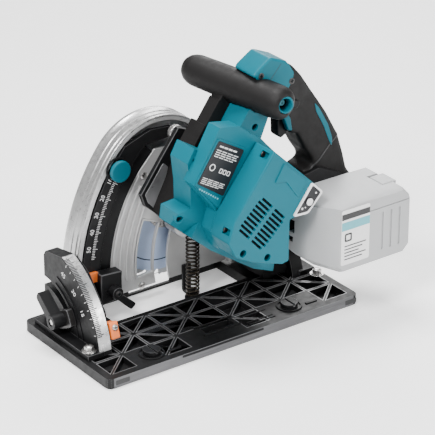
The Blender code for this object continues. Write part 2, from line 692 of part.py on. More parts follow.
def build_motor_end_cap():
    cap = slab("motor_end_cap", CAP_OUTLINE, "Y", CAP_Y[0], CAP_Y[1], TEAL, HEAD)
    cut(cap, slab("cap_cavity", inset(CAP_OUTLINE, WALL), "Y", CAP_Y[0] + WALL, CAP_Y[1] + 1.0, parent=HEAD,
                  cutter=True))
    vents = [slab("vent", slot, "Y", CAP_Y[0] - 1.0, CAP_Y[0] + WALL + 1.0) for slot in vent_slots()]
    cut(cap, as_cutter(group("vent_slots", vents, None, HEAD)))


def build_motor_housing():
    housing = slab("motor_housing", LABEL_OUTLINE, "Y", HOUSING_Y[0], 32.0, TEAL, HEAD)
    join(housing, slab("housing_body", BODY_OUTLINE, "Y", 30.0, HOUSING_Y[1], parent=HEAD, cutter=True))
    underside = [(HOUSING_Y[0] - 1.0, 33.0), (HOUSING_Y[0] - 1.0, -40.0), (44.0, -40.0), (44.0, -6.0)]
    cut(housing, slab("underside", underside, "X", -260.0, -178.0, parent=HEAD, cutter=True))
    cut(housing, slab("housing_cavity", HOUSING_CAVITY, "Y", HOUSING_Y[0] + WALL, HOUSING_Y[1] + 1.0, parent=HEAD,
                      cutter=True))
    cut(housing, disc("motor_opening", MOTOR_BORE, "Y", HOUSING_Y[0] - 1.0, HOUSING_Y[0] + WALL + 1.0, parent=HEAD,
                      at=MOTOR_AT, cutter=True))
    cut(housing, bar_cutter("housing_saddle"))


def bar_cutter(name):
    """Space kept free round the front grip."""
    near = Vector(BAR_NEAR)
    far = Vector(BAR_FAR)
    return tube(name, [near + (near - far) * 0.2, far + (far - near) * 0.2], BAR_RADIUS + 2.0, None, LEVEL,
                resolution=4, cutter=True)


def build_grip_housing():
    """Dark casing behind the motor, with the strut that carries the front grip."""
    body = slab("grip_housing", GRIP_OUTLINE, "Y", BODY_Y[0], BODY_Y[1], BLACK, HEAD)
    join(body, slab("strut_foot", STRUT_FOOT, "Y", BODY_Y[0], BODY_Y[1] - 10.0, parent=HEAD, cutter=True))
    join(body, slab("strut", STRUT_OUTLINE, "Y", BODY_Y[0], BODY_Y[0] + 17.5, parent=HEAD, cutter=True))
    cut(body, slab("grip_cavity", GRIP_CAVITY, "Y", BODY_Y[0] - 1.0, BODY_Y[1] - WALL, parent=HEAD, cutter=True))
    cut(body, disc("bearing_seat", 11.0, "Y", BODY_Y[1] - WALL - 1.0, BODY_Y[1] + 1.0, parent=HEAD, at=MOTOR_AT,
                   cutter=True))
    cut(body, bar_cutter("bar_saddle"))


def hull_of_circles(first, first_radius, second, second_radius, steps=8):
    """Outline round two circles."""
    angle = math.degrees(math.atan2(second[1] - first[1], second[0] - first[0]))
    span = math.dist(first, second)
    lean = math.degrees(math.asin((first_radius - second_radius) / span))
    points = arc(second, second_radius, angle - 90 + lean, angle + 90 - lean, steps)
    points += arc(first, first_radius, angle + 90 - lean, angle + 270 + lean, steps)
    return points


def build_gear_case():
    """Aluminium gear case with the arm to the plunge pin, the spindle nose and the lug over the spring."""
    low, high = GEARCASE_Y
    case = slab("gear_case", hull_of_circles(MOTOR_AT, 18.0, IDLER_AT, 24.0), "Y", low, high, CAST_SILVER, HEAD)
    join(case, slab("pivot_arm", hull_of_circles(IDLER_AT, 20.0, (0.0, 0.0), 12.0), "Y", low, high - 1.0,
                    parent=HEAD, cutter=True))
    join(case, slab("spindle_boss", hull_of_circles(IDLER_AT, 19.0, SPINDLE_AT, 17.0), "Y", 107.0, high + 0.5,
                    parent=HEAD, cutter=True))
    join(case, disc("spindle_nose", 14.0, "Y", high - 2.0, CASE_Y[0] - 1.0, parent=HEAD, at=SPINDLE_AT, cutter=True,
                    end_radius=12.0))
    lug = [head_point(SPRING_X + x, SPRING_TOP_Z + GAP + z)
           for x, z in ((-8.5, 0.0), (8.5, 0.0), (9.0, 14.0), (-8.5, 20.0))]
    join(case, slab("spring_lug", lug, "Y", SPRING_Y - 7.0, SPRING_Y + 7.0, parent=HEAD, cutter=True))
    cut(case, slab("first_gear_room", hull_of_circles(MOTOR_AT, 11.5, IDLER_AT, 21.0), "Y", low - 1.0, 109.0,
                   parent=HEAD, cutter=True))
    cut(case, slab("second_gear_room", hull_of_circles(IDLER_AT, 9.5, SPINDLE_AT, 14.7), "Y", 108.0, 122.0,
                   parent=HEAD, cutter=True))
    cut(case, disc("nose_bore", 10.0, "Y", 121.0, CASE_Y[0], parent=HEAD, at=SPINDLE_AT, cutter=True))
    cut(case, disc("pivot_bore", PIN_RADIUS + GAP, "Y", low - 1.0, high + 1.0, parent=HEAD, cutter=True, sides=20))


def build_front_grip():
    """Thick bar across the head with a rounded far end and a teal ring in the near one."""
    near = Vector(BAR_NEAR)
    far = Vector(BAR_FAR)
    axis = frame("grip_axis", LEVEL, BAR_NEAR)
    axis.rotation_euler = (far - near).to_track_quat("Y", "Z").to_euler()
    length = (far - near).length
    profile = [(0.0, length + 12.0), (8.0, length + 10.0), (14.0, length + 4.0), (17.3, length - 4.0),
               (BAR_RADIUS, length * 0.75), (BAR_RADIUS + 0.7, length * 0.4), (BAR_RADIUS + 1.2, 14.0),
               (BAR_RADIUS, 4.0), (15.0, -1.0), (10.3, -2.0), (10.3, 36.0), (0.0, 36.0)]
    turned("front_grip", profile[::-1], GRIP, axis)
    turned("grip_ring", [(10.0, -3.0), (10.0, 16.0), (7.5, 16.0), (7.5, -1.5), (8.5, -3.0)], TEAL, axis)


HANDLE_OUTLINE = [(-202, 178), (-200, 188), (-189, 203), (-162, 206), (-143, 207), (-125, 199), (-92, 184),
                  (-66, 171.5), (-36, 153.5), (-16, 135.5), (-2, 121), (14, 114), (-42, 84), (-66, 100), (-54, 112),
                  (-62, 118), (-75, 124), (-96, 137), (-107, 134), (-122, 148), (-146, 152), (-146, 168),
                  (-158, 174)]
SWITCH_ROOM = [(-141, 158), (-116, 154), (-104, 140), (-96, 143), (-86, 139), (-84, 160), (-100, 172), (-138, 178)]
TRIGGER_SLOT = [(-126, 124), (-88, 124), (-88, 150), (-126, 160)]
TRIGGER_PIVOT = (-119.0, 153.0)
TRIGGER_OUTLINE = [(-122.5, 151), (-121, 140), (-113, 127), (-106, 125.5), (-102, 132), (-100.5, 144), (-106, 150),
                   (-116, 157)]
LOCK_BUTTON_AT = (-121.0, 167.5)


def build_handle():
    """Rear handle in two halves, with the switch, the trigger and the lock-off button."""
    middle = sum(HANDLE_Y) / 2
    for side, low, high in (("near", HANDLE_Y[0], middle - GAP / 2), ("far", middle + GAP / 2, HANDLE_Y[1])):
        shell = slab(f"handle_shell_{side}", HANDLE_OUTLINE, "Y", low, high, GRIP, HEAD)
        cut(shell, slab(f"switch_room_{side}", SWITCH_ROOM, "Y", HANDLE_Y[0] + 6.0, HANDLE_Y[1] - 6.0, parent=HEAD,
                        cutter=True))
        cut(shell, slab(f"trigger_slot_{side}", TRIGGER_SLOT, "Y", middle - 8.0, middle + 8.0, parent=HEAD,
                        cutter=True))
        cut(shell, disc(f"button_bore_{side}", 5.0 + GAP, "Y", HANDLE_Y[0] - 1.0, HANDLE_Y[1] + 1.0, parent=HEAD,
                        at=LOCK_BUTTON_AT, cutter=True, sides=16))
        cut(shell, bar_cutter(f"handle_saddle_{side}"))
    slab("switch_body", [(-111, 160), (-92, 153), (-87, 158), (-101, 169), (-111, 171)], "Y", middle - 8.0,
         middle + 8.0, BLACK, HEAD)
    axis = frame("trigger_axis", HEAD, (TRIGGER_PIVOT[0], 0.0, TRIGGER_PIVOT[1]))
    outline = [(x - TRIGGER_PIVOT[0], z - TRIGGER_PIVOT[1]) for x, z in TRIGGER_OUTLINE]
    slab("trigger", outline, "Y", middle - 7.0, middle + 7.0, BLACK, axis)
    button_axis = frame("lock_button_axis", HEAD, (LOCK_BUTTON_AT[0], 0.0, LOCK_BUTTON_AT[1]))
    disc("lock_off_button", 5.0, "Y", HANDLE_Y[0] - 4.5, HANDLE_Y[1], BLACK, button_axis, sides=16)


MOUNT_OUTLINE = [(238, 88), (238, 146), (262, 152), (277, 168), (300, 172), (330, 158), (352, 138), (366, 130),
                 (366, 84), (260, 84)]
RAIL_Z = (98.0, 130.0)
TERMINAL_X = (300.0, 312.0)
TERMINAL_Z = (108.0, 120.0)


def build_battery():
    """Battery pack with its release button, and the mount with rails and the contact block."""
    low = (BATTERY_X[0], BATTERY_Y[0], BATTERY_Z[0])
    high = (BATTERY_X[1], BATTERY_Y[1], BATTERY_Z[1])
    face = BATTERY_Y[1] + GAP
    axis = frame("pack_axis", LEVEL, (0.0, 0.0, 0.0))
    pack = block("battery_pack", low, high, PALE, axis, bevel=6.0)
    mount = slab("battery_mount", MOUNT_OUTLINE, "Y", face, HOUSING_Y[1] - 0.5, BLACK, LEVEL)
    for index, z in enumerate(RAIL_Z):
        cut(pack, block(f"rail_groove_{index}", (low[0] - 1.0, face - 7.0, z - 2.8), (high[0] + 1.0, face + 1.0, z + 2.8),
                        parent=axis, cutter=True))
        join(mount, block(f"rail_{index}", (264.0, face - 6.0, z - 2.5), (360.0, face + 1.0, z + 2.5), parent=LEVEL,
                          cutter=True))
    cut(pack, block("contact_slot", (low[0] - 1.0, face - 9.0, TERMINAL_Z[0] - 1.0),
                    (TERMINAL_X[1] + 1.0, face + 1.0, TERMINAL_Z[1] + 1.0), parent=axis, cutter=True))
    block("terminal_block", (TERMINAL_X[0], face - 8.0, TERMINAL_Z[0]), (TERMINAL_X[1], face + 6.0, TERMINAL_Z[1]),
          COPPER, LEVEL)
    cut(mount, block("terminal_seat", (TERMINAL_X[0] - GAP, face - 9.0, TERMINAL_Z[0] - GAP),
                     (TERMINAL_X[1] + GAP, face + 6.0 + GAP, TERMINAL_Z[1] + GAP), parent=LEVEL, cutter=True))
    cut(mount, slab("body_clearance", inset(BODY_OUTLINE, -GAP), "Y", face - 1.0, 70.0, parent=HEAD, cutter=True))
    cut(mount, slab("label_clearance", inset(LABEL_OUTLINE, -GAP), "Y", face - 1.0, 32.0 + GAP, parent=HEAD,
                    cutter=True))
    cut(mount, slab("handle_clearance", inset(HANDLE_OUTLINE, -GAP), "Y", HANDLE_Y[0] - GAP, 70.0, parent=HEAD,
                    cutter=True))
    cut(pack, block("button_recess", (high[0] - 26.0, -24.0, high[2] - 9.0), (high[0] - 2.0, 4.0, high[2] + 2.0),
                    parent=axis, cutter=True))
    block("battery_button", (high[0] - 24.0, -22.0, high[2] - 5.0), (high[0] - 4.0, 2.0, high[2] - 0.5), BLACK, axis,
          bevel=1.0)


def build_plates():
    """Rating plate, and the small control panel with its button."""
    plate = [(-215.5, 103), (-177, 103), (-177.8, 48.5), (-219, 52)]
    slab("rating_plate", rounded(plate, 2.0), "Y", HOUSING_Y[0] - 1.5, HOUSING_Y[0] - GAP, DARK_STEEL, HEAD)
    panel = [(-96, 96), (-80.5, 92), (-87, 67), (-101, 60)]
    slab("link_panel", rounded(panel, 2.5), "Y", CAP_Y[0] - 1.8, CAP_Y[0] - GAP, BLACK, HEAD)
    axis = frame("link_button_axis", HEAD, (-91.5, 0.0, 78.0))
    disc("link_button", 4.2, "Y", CAP_Y[0] - 4.3, CAP_Y[0] - 2.8, WHITE, axis, sides=20)


def build_mode_lever():
    """Link behind the casing and the knurled knob that selects how deep the head locks."""
    link = [(-204, 54), (-209, 8), (-197, -2), (-178, -6), (-176, 4), (-187, 52), (-183, 76), (-186, 94), (-199, 92),
            (-201, 76)]
    slab("mode_link", link, "Y", BODY_Y[1] + GAP, 104.5, BLACK, HEAD)
    axis = frame("mode_axis", HEAD, (-192.0, 0.0, 85.0))
    knob = disc("mode_knob", 9.0, "Y", 104.8, 111.5, CAST_SILVER, axis, sides=18)
    cut(knob, block("knob_slot", (-1.3, 110.0, -12.0), (1.3, 113.0, 12.0), parent=axis, cutter=True))


# ---------------------------------------------------------------- drive train and blade

def gear_outline(teeth, phase=0.0):
    """Gear rim with straight flanks, four points a tooth."""
    pitch = GEAR_MODULE * teeth / 2
    root = pitch - 1.3
    tip = pitch + 0.8
    points = []
    for index in range(teeth):
        middle = 2 * math.pi * index / teeth + phase
        for radius, half in ((root, -1.2), (tip, -0.5), (tip, 0.5), (root, 1.2)):
            angle = middle + half / radius
            points.append((radius * math.cos(angle), radius * math.sin(angle)))
    return points


def circle(radius, sides=24):
    return [(radius * math.cos(2 * math.pi * index / sides), radius * math.sin(2 * math.pi * index / sides))
            for index in range(sides)]


SPINDLE = frame("spindle_axis", HEAD, (SPINDLE_X, 0.0, SPINDLE_Z))
IDLER = frame("idler_axis", HEAD, (IDLER_AT[0], 0.0, IDLER_AT[1]))
ROTOR = frame("rotor_axis", HEAD, (MOTOR_AT[0], 0.0, MOTOR_AT[1]))


def mesh_phase(teeth, driver_teeth, driver_phase):
    """Phase that puts a gap of this gear opposite a tooth of its driver on the line of centres."""
    towards_driver = GEAR_TRAIN_ANGLE + math.pi
    towards_driven = GEAR_TRAIN_ANGLE
    turns = (towards_driven - driver_phase) * driver_teeth / (2 * math.pi)
    offset = turns - math.floor(turns)
    return towards_driver + (offset + 0.5) * 2 * math.pi / teeth


def build_gears():
    blade_gear_phase = 0.0
    pinion_phase = mesh_phase(SECOND_PINION_TEETH, BLADE_GEAR_TEETH, blade_gear_phase)
    motor_phase = mesh_phase(MOTOR_PINION_TEETH, FIRST_GEAR_TEETH, 0.0)
    slab("blade_gear", [gear_outline(BLADE_GEAR_TEETH, blade_gear_phase), circle(SPINDLE_RADIUS + GAP)], "Y", 112.0,
         121.5, STEEL, SPINDLE)
    idler = slab("idler_shaft", gear_outline(FIRST_GEAR_TEETH), "Y", 100.0, 107.5, STEEL, IDLER)
    join(idler, slab("idler_pinion", gear_outline(SECOND_PINION_TEETH, pinion_phase), "Y", 107.0, 121.5,
                     parent=IDLER, cutter=True))
    join(idler, disc("idler_stub", 4.0, "Y", 98.8, 101.0, parent=IDLER, cutter=True, sides=16))
    shaft = disc("rotor_shaft", 4.0, "Y", -14.0, 108.5, STEEL, ROTOR, sides=16)
    join(shaft, slab("motor_pinion", gear_outline(MOTOR_PINION_TEETH, motor_phase), "Y", 100.0, 107.5, parent=ROTOR,
                     cutter=True))


def build_motor():
    slab("rotor_core", [circle(17.5), circle(4.0 + GAP, 16)], "Y", 16.0, 53.0, DARK_STEEL, ROTOR)
    slab("stator", [circle(30.0), circle(18.5)], "Y", 14.5, 55.0, COPPER, ROTOR)
    fan = slab("cooling_fan", [circle(26.0), circle(4.0 + GAP, 16)], "Y", 62.8, 65.0, BLACK, ROTOR)
    blades = []
    for index in range(14):
        angle = 2 * math.pi * index / 14
        for radius, lag in ((10.0, 0.0), (27.5, -0.35), (27.5, -0.30), (10.0, 0.12)):
            blades.append((radius * math.cos(angle + lag), radius * math.sin(angle + lag)))
    join(fan, slab("fan_blades", [blades, circle(6.0, 16)], "Y", 64.0, 73.0, parent=ROTOR, cutter=True))
    for end, low, high in (("front", -18.5, -11.5), ("rear", 94.6, 97.8)):
        slab(f"motor_bearing_{end}", [circle(10.7), circle(4.0 + GAP, 16)], "Y", low, high, STEEL, ROTOR)
    block("controller_board", (-201.5, 17.0, 61.5), (-199.5, 58.0, 79.0), GREEN, HEAD)


def blade_outline():
    """Saw blade rim: each tooth has a steep face, a sloping back and a round gullet."""
    points = []
    pitch = 2 * math.pi / BLADE_TEETH
    for index in range(BLADE_TEETH):
        start = index * pitch
        for radius, share in ((BLADE_RADIUS, 0.0), (BLADE_RADIUS - 2.0, 0.30), (BLADE_RADIUS - 4.6, 0.62),
                              (BLADE_RADIUS - 7.2, 0.74), (BLADE_RADIUS - 7.6, 0.84), (BLADE_RADIUS - 6.2, 0.92)):
            angle = start + share * pitch
            points.append((radius * math.cos(angle), radius * math.sin(angle)))
    return points


def build_blade():
    low = BLADE_Y - BLADE_THICKNESS / 2
    high = BLADE_Y + BLADE_THICKNESS / 2
    bolt_hole = circle(4.0 + GAP, 16)
    spindle = disc("spindle", SPINDLE_RADIUS, "Y", 109.5, 148.7, STEEL, SPINDLE)
    cut(spindle, disc("spindle_thread", 4.0 + GAP, "Y", 138.0, 150.0, parent=SPINDLE, cutter=True, sides=16))
    inner = slab("inner_flange", [circle(22.0), bolt_hole], "Y", 149.0, low - GAP, STEEL, SPINDLE)
    join(inner, slab("blade_hub", [circle(9.9), bolt_hole], "Y", 150.0, high, parent=SPINDLE, cutter=True))
    slab("blade", [blade_outline(), circle(10.2)], "Y", low, high, BLADE_FACE, SPINDLE)
    slab("outer_flange", [circle(20.0), bolt_hole], "Y", high + GAP, high + 3.8, STEEL, SPINDLE)
    bolt = disc("blade_bolt", 6.5, "Y", high + 3.8 + GAP, CASE_Y[1] - CASE_WALL - 0.5, DARK_STEEL, SPINDLE, sides=6)
    join(bolt, disc("bolt_shank", 4.0, "Y", 139.0, high + 5.0, parent=SPINDLE, cutter=True, sides=16))


build_base()
build_quadrant("front_quadrant", QUADRANT_FRONT_X, QUADRANT_RADIUS, CLAMP_RADIUS, (5.0, 26.0))
build_quadrant("rear_quadrant", REAR_QUADRANT_X, REAR_QUADRANT_RADIUS, REAR_CLAMP_RADIUS, (314.0, 335.0))
build_case()
build_guide()
build_inner_cover()
build_brackets()
build_clamp()
build_pointer()
build_depth_stop()
build_return_spring()
build_dust_nozzle()
build_motor_end_cap()
build_motor_housing()
build_grip_housing()
build_gear_case()
build_front_grip()
build_handle()
build_battery()
build_plates()
build_mode_lever()
build_gears()
build_motor()
build_blade()
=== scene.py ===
import math

import bmesh
import bpy
from mathutils import Matrix, Vector


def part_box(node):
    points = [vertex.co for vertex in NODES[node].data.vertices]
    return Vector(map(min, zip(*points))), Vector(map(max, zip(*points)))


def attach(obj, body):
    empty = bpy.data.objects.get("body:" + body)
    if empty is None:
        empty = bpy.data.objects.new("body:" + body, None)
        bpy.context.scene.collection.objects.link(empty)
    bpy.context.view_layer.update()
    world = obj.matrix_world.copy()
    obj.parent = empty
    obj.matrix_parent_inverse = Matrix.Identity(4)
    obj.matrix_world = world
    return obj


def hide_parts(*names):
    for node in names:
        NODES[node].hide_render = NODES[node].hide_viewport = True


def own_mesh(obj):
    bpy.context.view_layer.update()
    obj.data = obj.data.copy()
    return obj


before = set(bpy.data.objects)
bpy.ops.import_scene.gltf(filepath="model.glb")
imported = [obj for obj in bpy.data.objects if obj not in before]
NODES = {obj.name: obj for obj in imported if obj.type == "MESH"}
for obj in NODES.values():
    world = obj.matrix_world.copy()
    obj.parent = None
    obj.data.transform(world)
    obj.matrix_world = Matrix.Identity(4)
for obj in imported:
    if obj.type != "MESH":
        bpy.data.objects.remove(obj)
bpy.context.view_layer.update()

# Lengths are millimetres unless a name says otherwise; MM turns them into metres.
MM = 0.001
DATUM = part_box("base_plate")[0]
PIN_LOW, PIN_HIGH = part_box("plunge_pin")
PIVOT = (PIN_LOW + PIN_HIGH) / 2
BLADE_LOW, BLADE_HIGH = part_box("blade")
BLADE_CENTRE = (BLADE_LOW + BLADE_HIGH) / 2
HEAD_TILT = math.radians(30.0)

BASE_TOP = 12.0
PLUNGE_AXIS = (288.0, 50.0)
BEVEL_Y = 158.0
QUADRANT_FRONT_X = 20.0
QUADRANT_REAR_X = 36.0
QUADRANT_RADIUS = 111.0
POINTER_ANGLE = 19.0
CASE_FACE_Y = 136.0
COVER_FACE_Y = 139.5
GUIDE_RADII = (208.0, 231.0)
COVER_RADIUS = 192.0
WINDOW_RADII = (136.0, 157.0)
CAP_FACE_Y = -22.0
LABEL_FACE_Y = 12.3
HANDLE_Y = (30.0, 66.0)
BAR_NEAR = (233.0, -2.0, 272.0)
BAR_FAR = (197.0, 118.0, 283.0)
FORWARDS = Vector((-1, 0, 0))
REARWARDS = Vector((1, 0, 0))
NEARWARDS = Vector((0, -1, 0))
FARWARDS = Vector((0, 1, 0))
UPWARDS = Vector((0, 0, 1))
SPRING_AT = (192.0, 116.0)
SPRING_Z = (6.0, 88.7)
SPRING_COILS = 17
SPRING_RADIUS = 7.0
WIRE_RADIUS = 1.15
BATTERY_LOW = (258.0, -45.0, 74.0)
BATTERY_HIGH = (377.0, 24.0, 155.0)


# ---- frames

def edge(x, y, z):
    """World point for a point of the base frame, in millimetres from the base's front corner."""
    return Vector((DATUM.x + x * MM, DATUM.y + y * MM, z * MM))


def head(x, y, z):
    """World point for a point of the raised head's own frame, about the plunge axis."""
    cos = math.cos(HEAD_TILT)
    sin = math.sin(HEAD_TILT)
    return Vector((PIVOT.x + (x * cos + z * sin) * MM, DATUM.y + y * MM,
                   PIVOT.z + (z * cos - x * sin) * MM))


ORDER = {"X": lambda u, v, w: (w, u, v), "Y": lambda u, v, w: (u, w, v), "Z": lambda u, v, w: (u, v, w)}


def plunge_point(radius, degrees):
    """X and Z of a point about the plunge axis, at an angle above the line that runs forwards."""
    angle = math.radians(degrees)
    return PLUNGE_AXIS[0] - radius * math.cos(angle), PLUNGE_AXIS[1] + radius * math.sin(angle)


def bevel_point(radius, degrees):
    """Y and Z of a point about the bevel axis, at an angle above the motor side."""
    angle = math.radians(degrees)
    return BEVEL_Y - radius * math.cos(angle), radius * math.sin(angle)


def band(point, inner, outer, start, end, steps=16):
    """Outline of a ring sector made with one of the polar point functions."""
    angles = [start + (end - start) * index / steps for index in range(steps + 1)]
    return [point(outer, a) for a in angles] + [point(inner, a) for a in reversed(angles)]


def rectangle(low, high):
    return [(low[0], low[1]), (high[0], low[1]), (high[0], high[1]), (low[0], high[1])]


def circle(radius, sides=32, centre=(0.0, 0.0)):
    return [(centre[0] + radius * math.cos(2 * math.pi * i / sides),
             centre[1] + radius * math.sin(2 * math.pi * i / sides)) for i in range(sides)]


def rounded(points, radius, steps=4):
    """An outline with each corner replaced by a short curve."""
    result = []
    count = len(points)
    for index, corner in enumerate(points):
        ends = []
        for other in (points[index - 1], points[(index + 1) % count]):
            length = math.dist(corner, other)
            reach = min(radius, length * 0.45)
            ends.append([c + (o - c) * reach / length for c, o in zip(corner, other)])
        for step in range(steps + 1):
            t = step / steps
            result.append(tuple((1 - t) ** 2 * a + 2 * t * (1 - t) * c + t ** 2 * b
                                for a, c, b in zip(ends[0], corner, ends[1])))
    return result


def added(name, data):
    """A new object in the scene."""
    obj = bpy.data.objects.new(name, data)
    bpy.context.scene.collection.objects.link(obj)
    return obj


# ---- materials

class Nodes:
    """Short way to add and link the nodes of one material."""

    def __init__(self, name):
        self.material = bpy.data.materials.new(name)
        self.material.use_nodes = True
        self.tree = self.material.node_tree
        self.shader = self.tree.nodes["Principled BSDF"]
        self.coords = self.tree.nodes.new("ShaderNodeTexCoord").outputs["Object"]

    def add(self, kind, inputs=None, **settings):
        made = self.tree.nodes.new("ShaderNode" + kind)
        for key, value in settings.items():
            setattr(made, key, value)
        for key, value in (inputs or {}).items():
            if hasattr(value, "is_linked"):
                self.tree.links.new(value, made.inputs[key])
            else:
                made.inputs[key].default_value = value
        return made

    def noise(self, scale, detail=3.0, stretch=(1.0, 1.0, 1.0), rough=0.55):
        vector = self.add("Mapping", {"Vector": self.coords, "Scale": stretch}).outputs["Vector"]
        return self.add("TexNoise", {"Vector": vector, "Scale": scale, "Detail": detail,
                                     "Roughness": rough}).outputs["Fac"]

    def remap(self, value, low, high, to_low, to_high):
        return self.add("MapRange", {"Value": value, "From Min": low, "From Max": high, "To Min": to_low,
                                     "To Max": to_high}).outputs["Result"]

    def math(self, operation, first, second):
        return self.add("Math", {0: first, 1: second}, operation=operation).outputs[0]

    def colour_mix(self, factor, first, second):
        return self.add("Mix", {0: factor, 6: first, 7: second}, data_type="RGBA").outputs[2]

    def link(self, value, socket):
        self.tree.links.new(value, self.shader.inputs[socket])


def shade(colour, factor):
    return (*[min(1.0, c * factor) for c in colour], 1.0)


GLOSS_SPREAD = 0.08


def surface(name, colour, roughness, metallic=0.0, grain=1600.0, depth=0.03, blotch=0.10, scuff=0.25,
            brushed=None, finish=None, shine=0.5):
    """Mottled colour, uneven gloss, fine grain and rubbed streaks; depth is the grain's height in mm."""
    nodes = Nodes(name)
    patches = nodes.noise(22.0, 4.0)
    tone = nodes.remap(patches, 0.3, 0.7, 0.0, 1.0)
    colours = nodes.colour_mix(tone, shade(colour, 1.0 - blotch), shade(colour, 1.0 + blotch))
    streaks = nodes.noise(60.0, 5.0, (1.0, 9.0, 6.0), 0.7)
    rubbed = nodes.remap(streaks, 0.60, 0.72, 0.0, scuff)
    worn = tuple(0.75 * c + 0.25 * 0.6 for c in colour)
    colours = nodes.colour_mix(rubbed, colours, (*worn, 1.0))
    gloss = nodes.remap(nodes.noise(140.0, 4.0), 0.3, 0.7, roughness - GLOSS_SPREAD, roughness + GLOSS_SPREAD)
    gloss = nodes.math("ADD", gloss, nodes.math("MULTIPLY", rubbed, 0.25))
    height = nodes.noise(grain, 2.0)
    if brushed:
        lines = nodes.noise(700.0, 3.0, brushed, 0.7)
        height = nodes.math("ADD", height, lines)
        colours = nodes.colour_mix(nodes.remap(lines, 0.35, 0.65, 0.0, 0.2), colours, shade(colour, 0.76))
        gloss = nodes.math("ADD", gloss, nodes.remap(lines, 0.3, 0.7, -0.05, 0.08))
    bump = nodes.add("Bump", {"Height": height, "Strength": 0.6, "Distance": depth * MM})
    if finish:
        colours, gloss = finish(nodes, colours, gloss)
    nodes.link(colours, "Base Color")
    nodes.link(gloss, "Roughness")
    nodes.link(bump.outputs["Normal"], "Normal")
    nodes.shader.inputs["Metallic"].default_value = metallic
    nodes.shader.inputs["Specular IOR Level"].default_value = shine
    return nodes.material


def machined_side(nodes, colours, gloss):
    """The base's cut side and sole are bare aluminium, the rest keeps its black finish."""
    parts = nodes.add("SeparateXYZ", {"Vector": nodes.coords})
    side = nodes.math("LESS_THAN", parts.outputs["Y"], DATUM.y + 0.2 * MM)
    sole = nodes.math("LESS_THAN", parts.outputs["Z"], 0.2 * MM)
    bare = nodes.math("MAXIMUM", side, sole)
    lines = nodes.noise(500.0, 3.0, (0.05, 1.0, 1.0), 0.6)
    drawn = nodes.remap(lines, 0.3, 0.7, 0.0, 1.0)
    metal = nodes.colour_mix(drawn, (0.08, 0.08, 0.084, 1.0), (0.12, 0.12, 0.125, 1.0))
    rougher = nodes.math("MULTIPLY", bare, 0.05)
    return nodes.colour_mix(bare, colours, metal), nodes.math("ADD", gloss, rougher)


def blade_rings(nodes, colours, gloss):
    """Pale coating inside a bare toothed rim, with a dark printed ring and fine turning lines."""
    centre = nodes.add("VectorMath", {0: nodes.coords, 1: tuple(BLADE_CENTRE)}, operation="SUBTRACT")
    flat = nodes.add("VectorMath", {0: centre.outputs[0], 1: (1.0, 0.0, 1.0)}, operation="MULTIPLY")
    radius = nodes.add("VectorMath", {0: flat.outputs[0]}, operation="LENGTH").outputs["Value"]
    rim = nodes.math("GREATER_THAN", radius, 75.5 * MM)
    ring = nodes.math("MULTIPLY", nodes.math("GREATER_THAN", radius, 62.2 * MM),
                      nodes.math("LESS_THAN", radius, 63.6 * MM))
    turned = nodes.math("SINE", nodes.math("MULTIPLY", radius, 14000.0), 0.0)
    lined = nodes.colour_mix(nodes.remap(turned, -1.0, 1.0, 0.0, 0.12), colours, (0.25, 0.30, 0.42, 1.0))
    steel = nodes.colour_mix(rim, lined, (0.45, 0.46, 0.48, 1.0))
    return nodes.colour_mix(ring, steel, (0.01, 0.02, 0.05, 1.0)), gloss


MOULDED = {"grain": 2400, "depth": 0.02, "scuff": 0.02}
CAST = {"grain": 900, "blotch": 0.2, "scuff": 0.03}
EDGE = {"grain": 900, "depth": 0.05, "blotch": 0.35}
PRINTED = {"grain": 2600, "depth": 0.008}

TEAL = surface("teal_moulding", (0.0, 0.104, 0.142), 0.40, blotch=0.05, shine=0.16, **MOULDED)
BLACK = surface("black_moulding", (0.0050, 0.0050, 0.0055), 0.46, grain=2000, scuff=0.02, shine=0.2)
RUBBER = surface("soft_grip", (0.0062, 0.0056, 0.0056), 0.56, grain=1100, depth=0.10, blotch=0.14,
                 scuff=0.02, shine=0.20)
CAST_BLACK = surface("black_cast", (0.0050, 0.0050, 0.0055), 0.44, depth=0.07, shine=0.16, **CAST)
BASE_METAL = surface("base_cast", (0.0068, 0.0068, 0.0072), 0.42, depth=0.06, finish=machined_side,
                     shine=0.20, **CAST)
WORN_EDGE = surface("worn_edge", (0.20, 0.20, 0.205), 0.34, 0.5, scuff=0.3, **EDGE)
DULL_EDGE = surface("dull_edge", (0.06, 0.06, 0.062), 0.38, 0.3, scuff=0.2, **EDGE)
CAST_SILVER = surface("silver_cast", (0.50, 0.50, 0.50), 0.40, 0.55, grain=900, depth=0.06, blotch=0.08,
                      scuff=0.1)
RIM_SILVER = surface("rim_silver", (0.50, 0.50, 0.50), 0.30, 0.8, grain=1500, depth=0.012, blotch=0.04,
                     scuff=0.06, brushed=(0.3, 1.0, 0.3))
STEEL = surface("bright_steel", (0.50, 0.49, 0.48), 0.28, 0.95, depth=0.01, scuff=0.1,
                brushed=(1.0, 0.06, 1.0))
DARK_STEEL = surface("black_steel", (0.040, 0.038, 0.038), 0.34, 0.7, depth=0.01, scuff=0.3)
SPRING_STEEL = surface("spring_steel", (0.055, 0.045, 0.034), 0.25, 0.85, depth=0.01, scuff=0.3)
BLADE_COAT = surface("blade_coat", (0.44, 0.54, 0.74), 0.36, depth=0.01, blotch=0.04, scuff=0.05,
                     finish=blade_rings)
ORANGE = surface("orange_moulding", (0.72, 0.15, 0.02), 0.42, grain=2400, depth=0.02, blotch=0.06,
                 scuff=0.08)
PALE = surface("pale_moulding", (0.34, 0.345, 0.35), 0.45, grain=2200, depth=0.025, blotch=0.04,
               scuff=0.06)
LABEL_WHITE = surface("label_white", (0.72, 0.72, 0.72), 0.5, blotch=0.03, scuff=0.03, **PRINTED)
PRINT_WHITE = surface("print_white", (0.66, 0.66, 0.66), 0.55, scuff=0.0, **PRINTED)
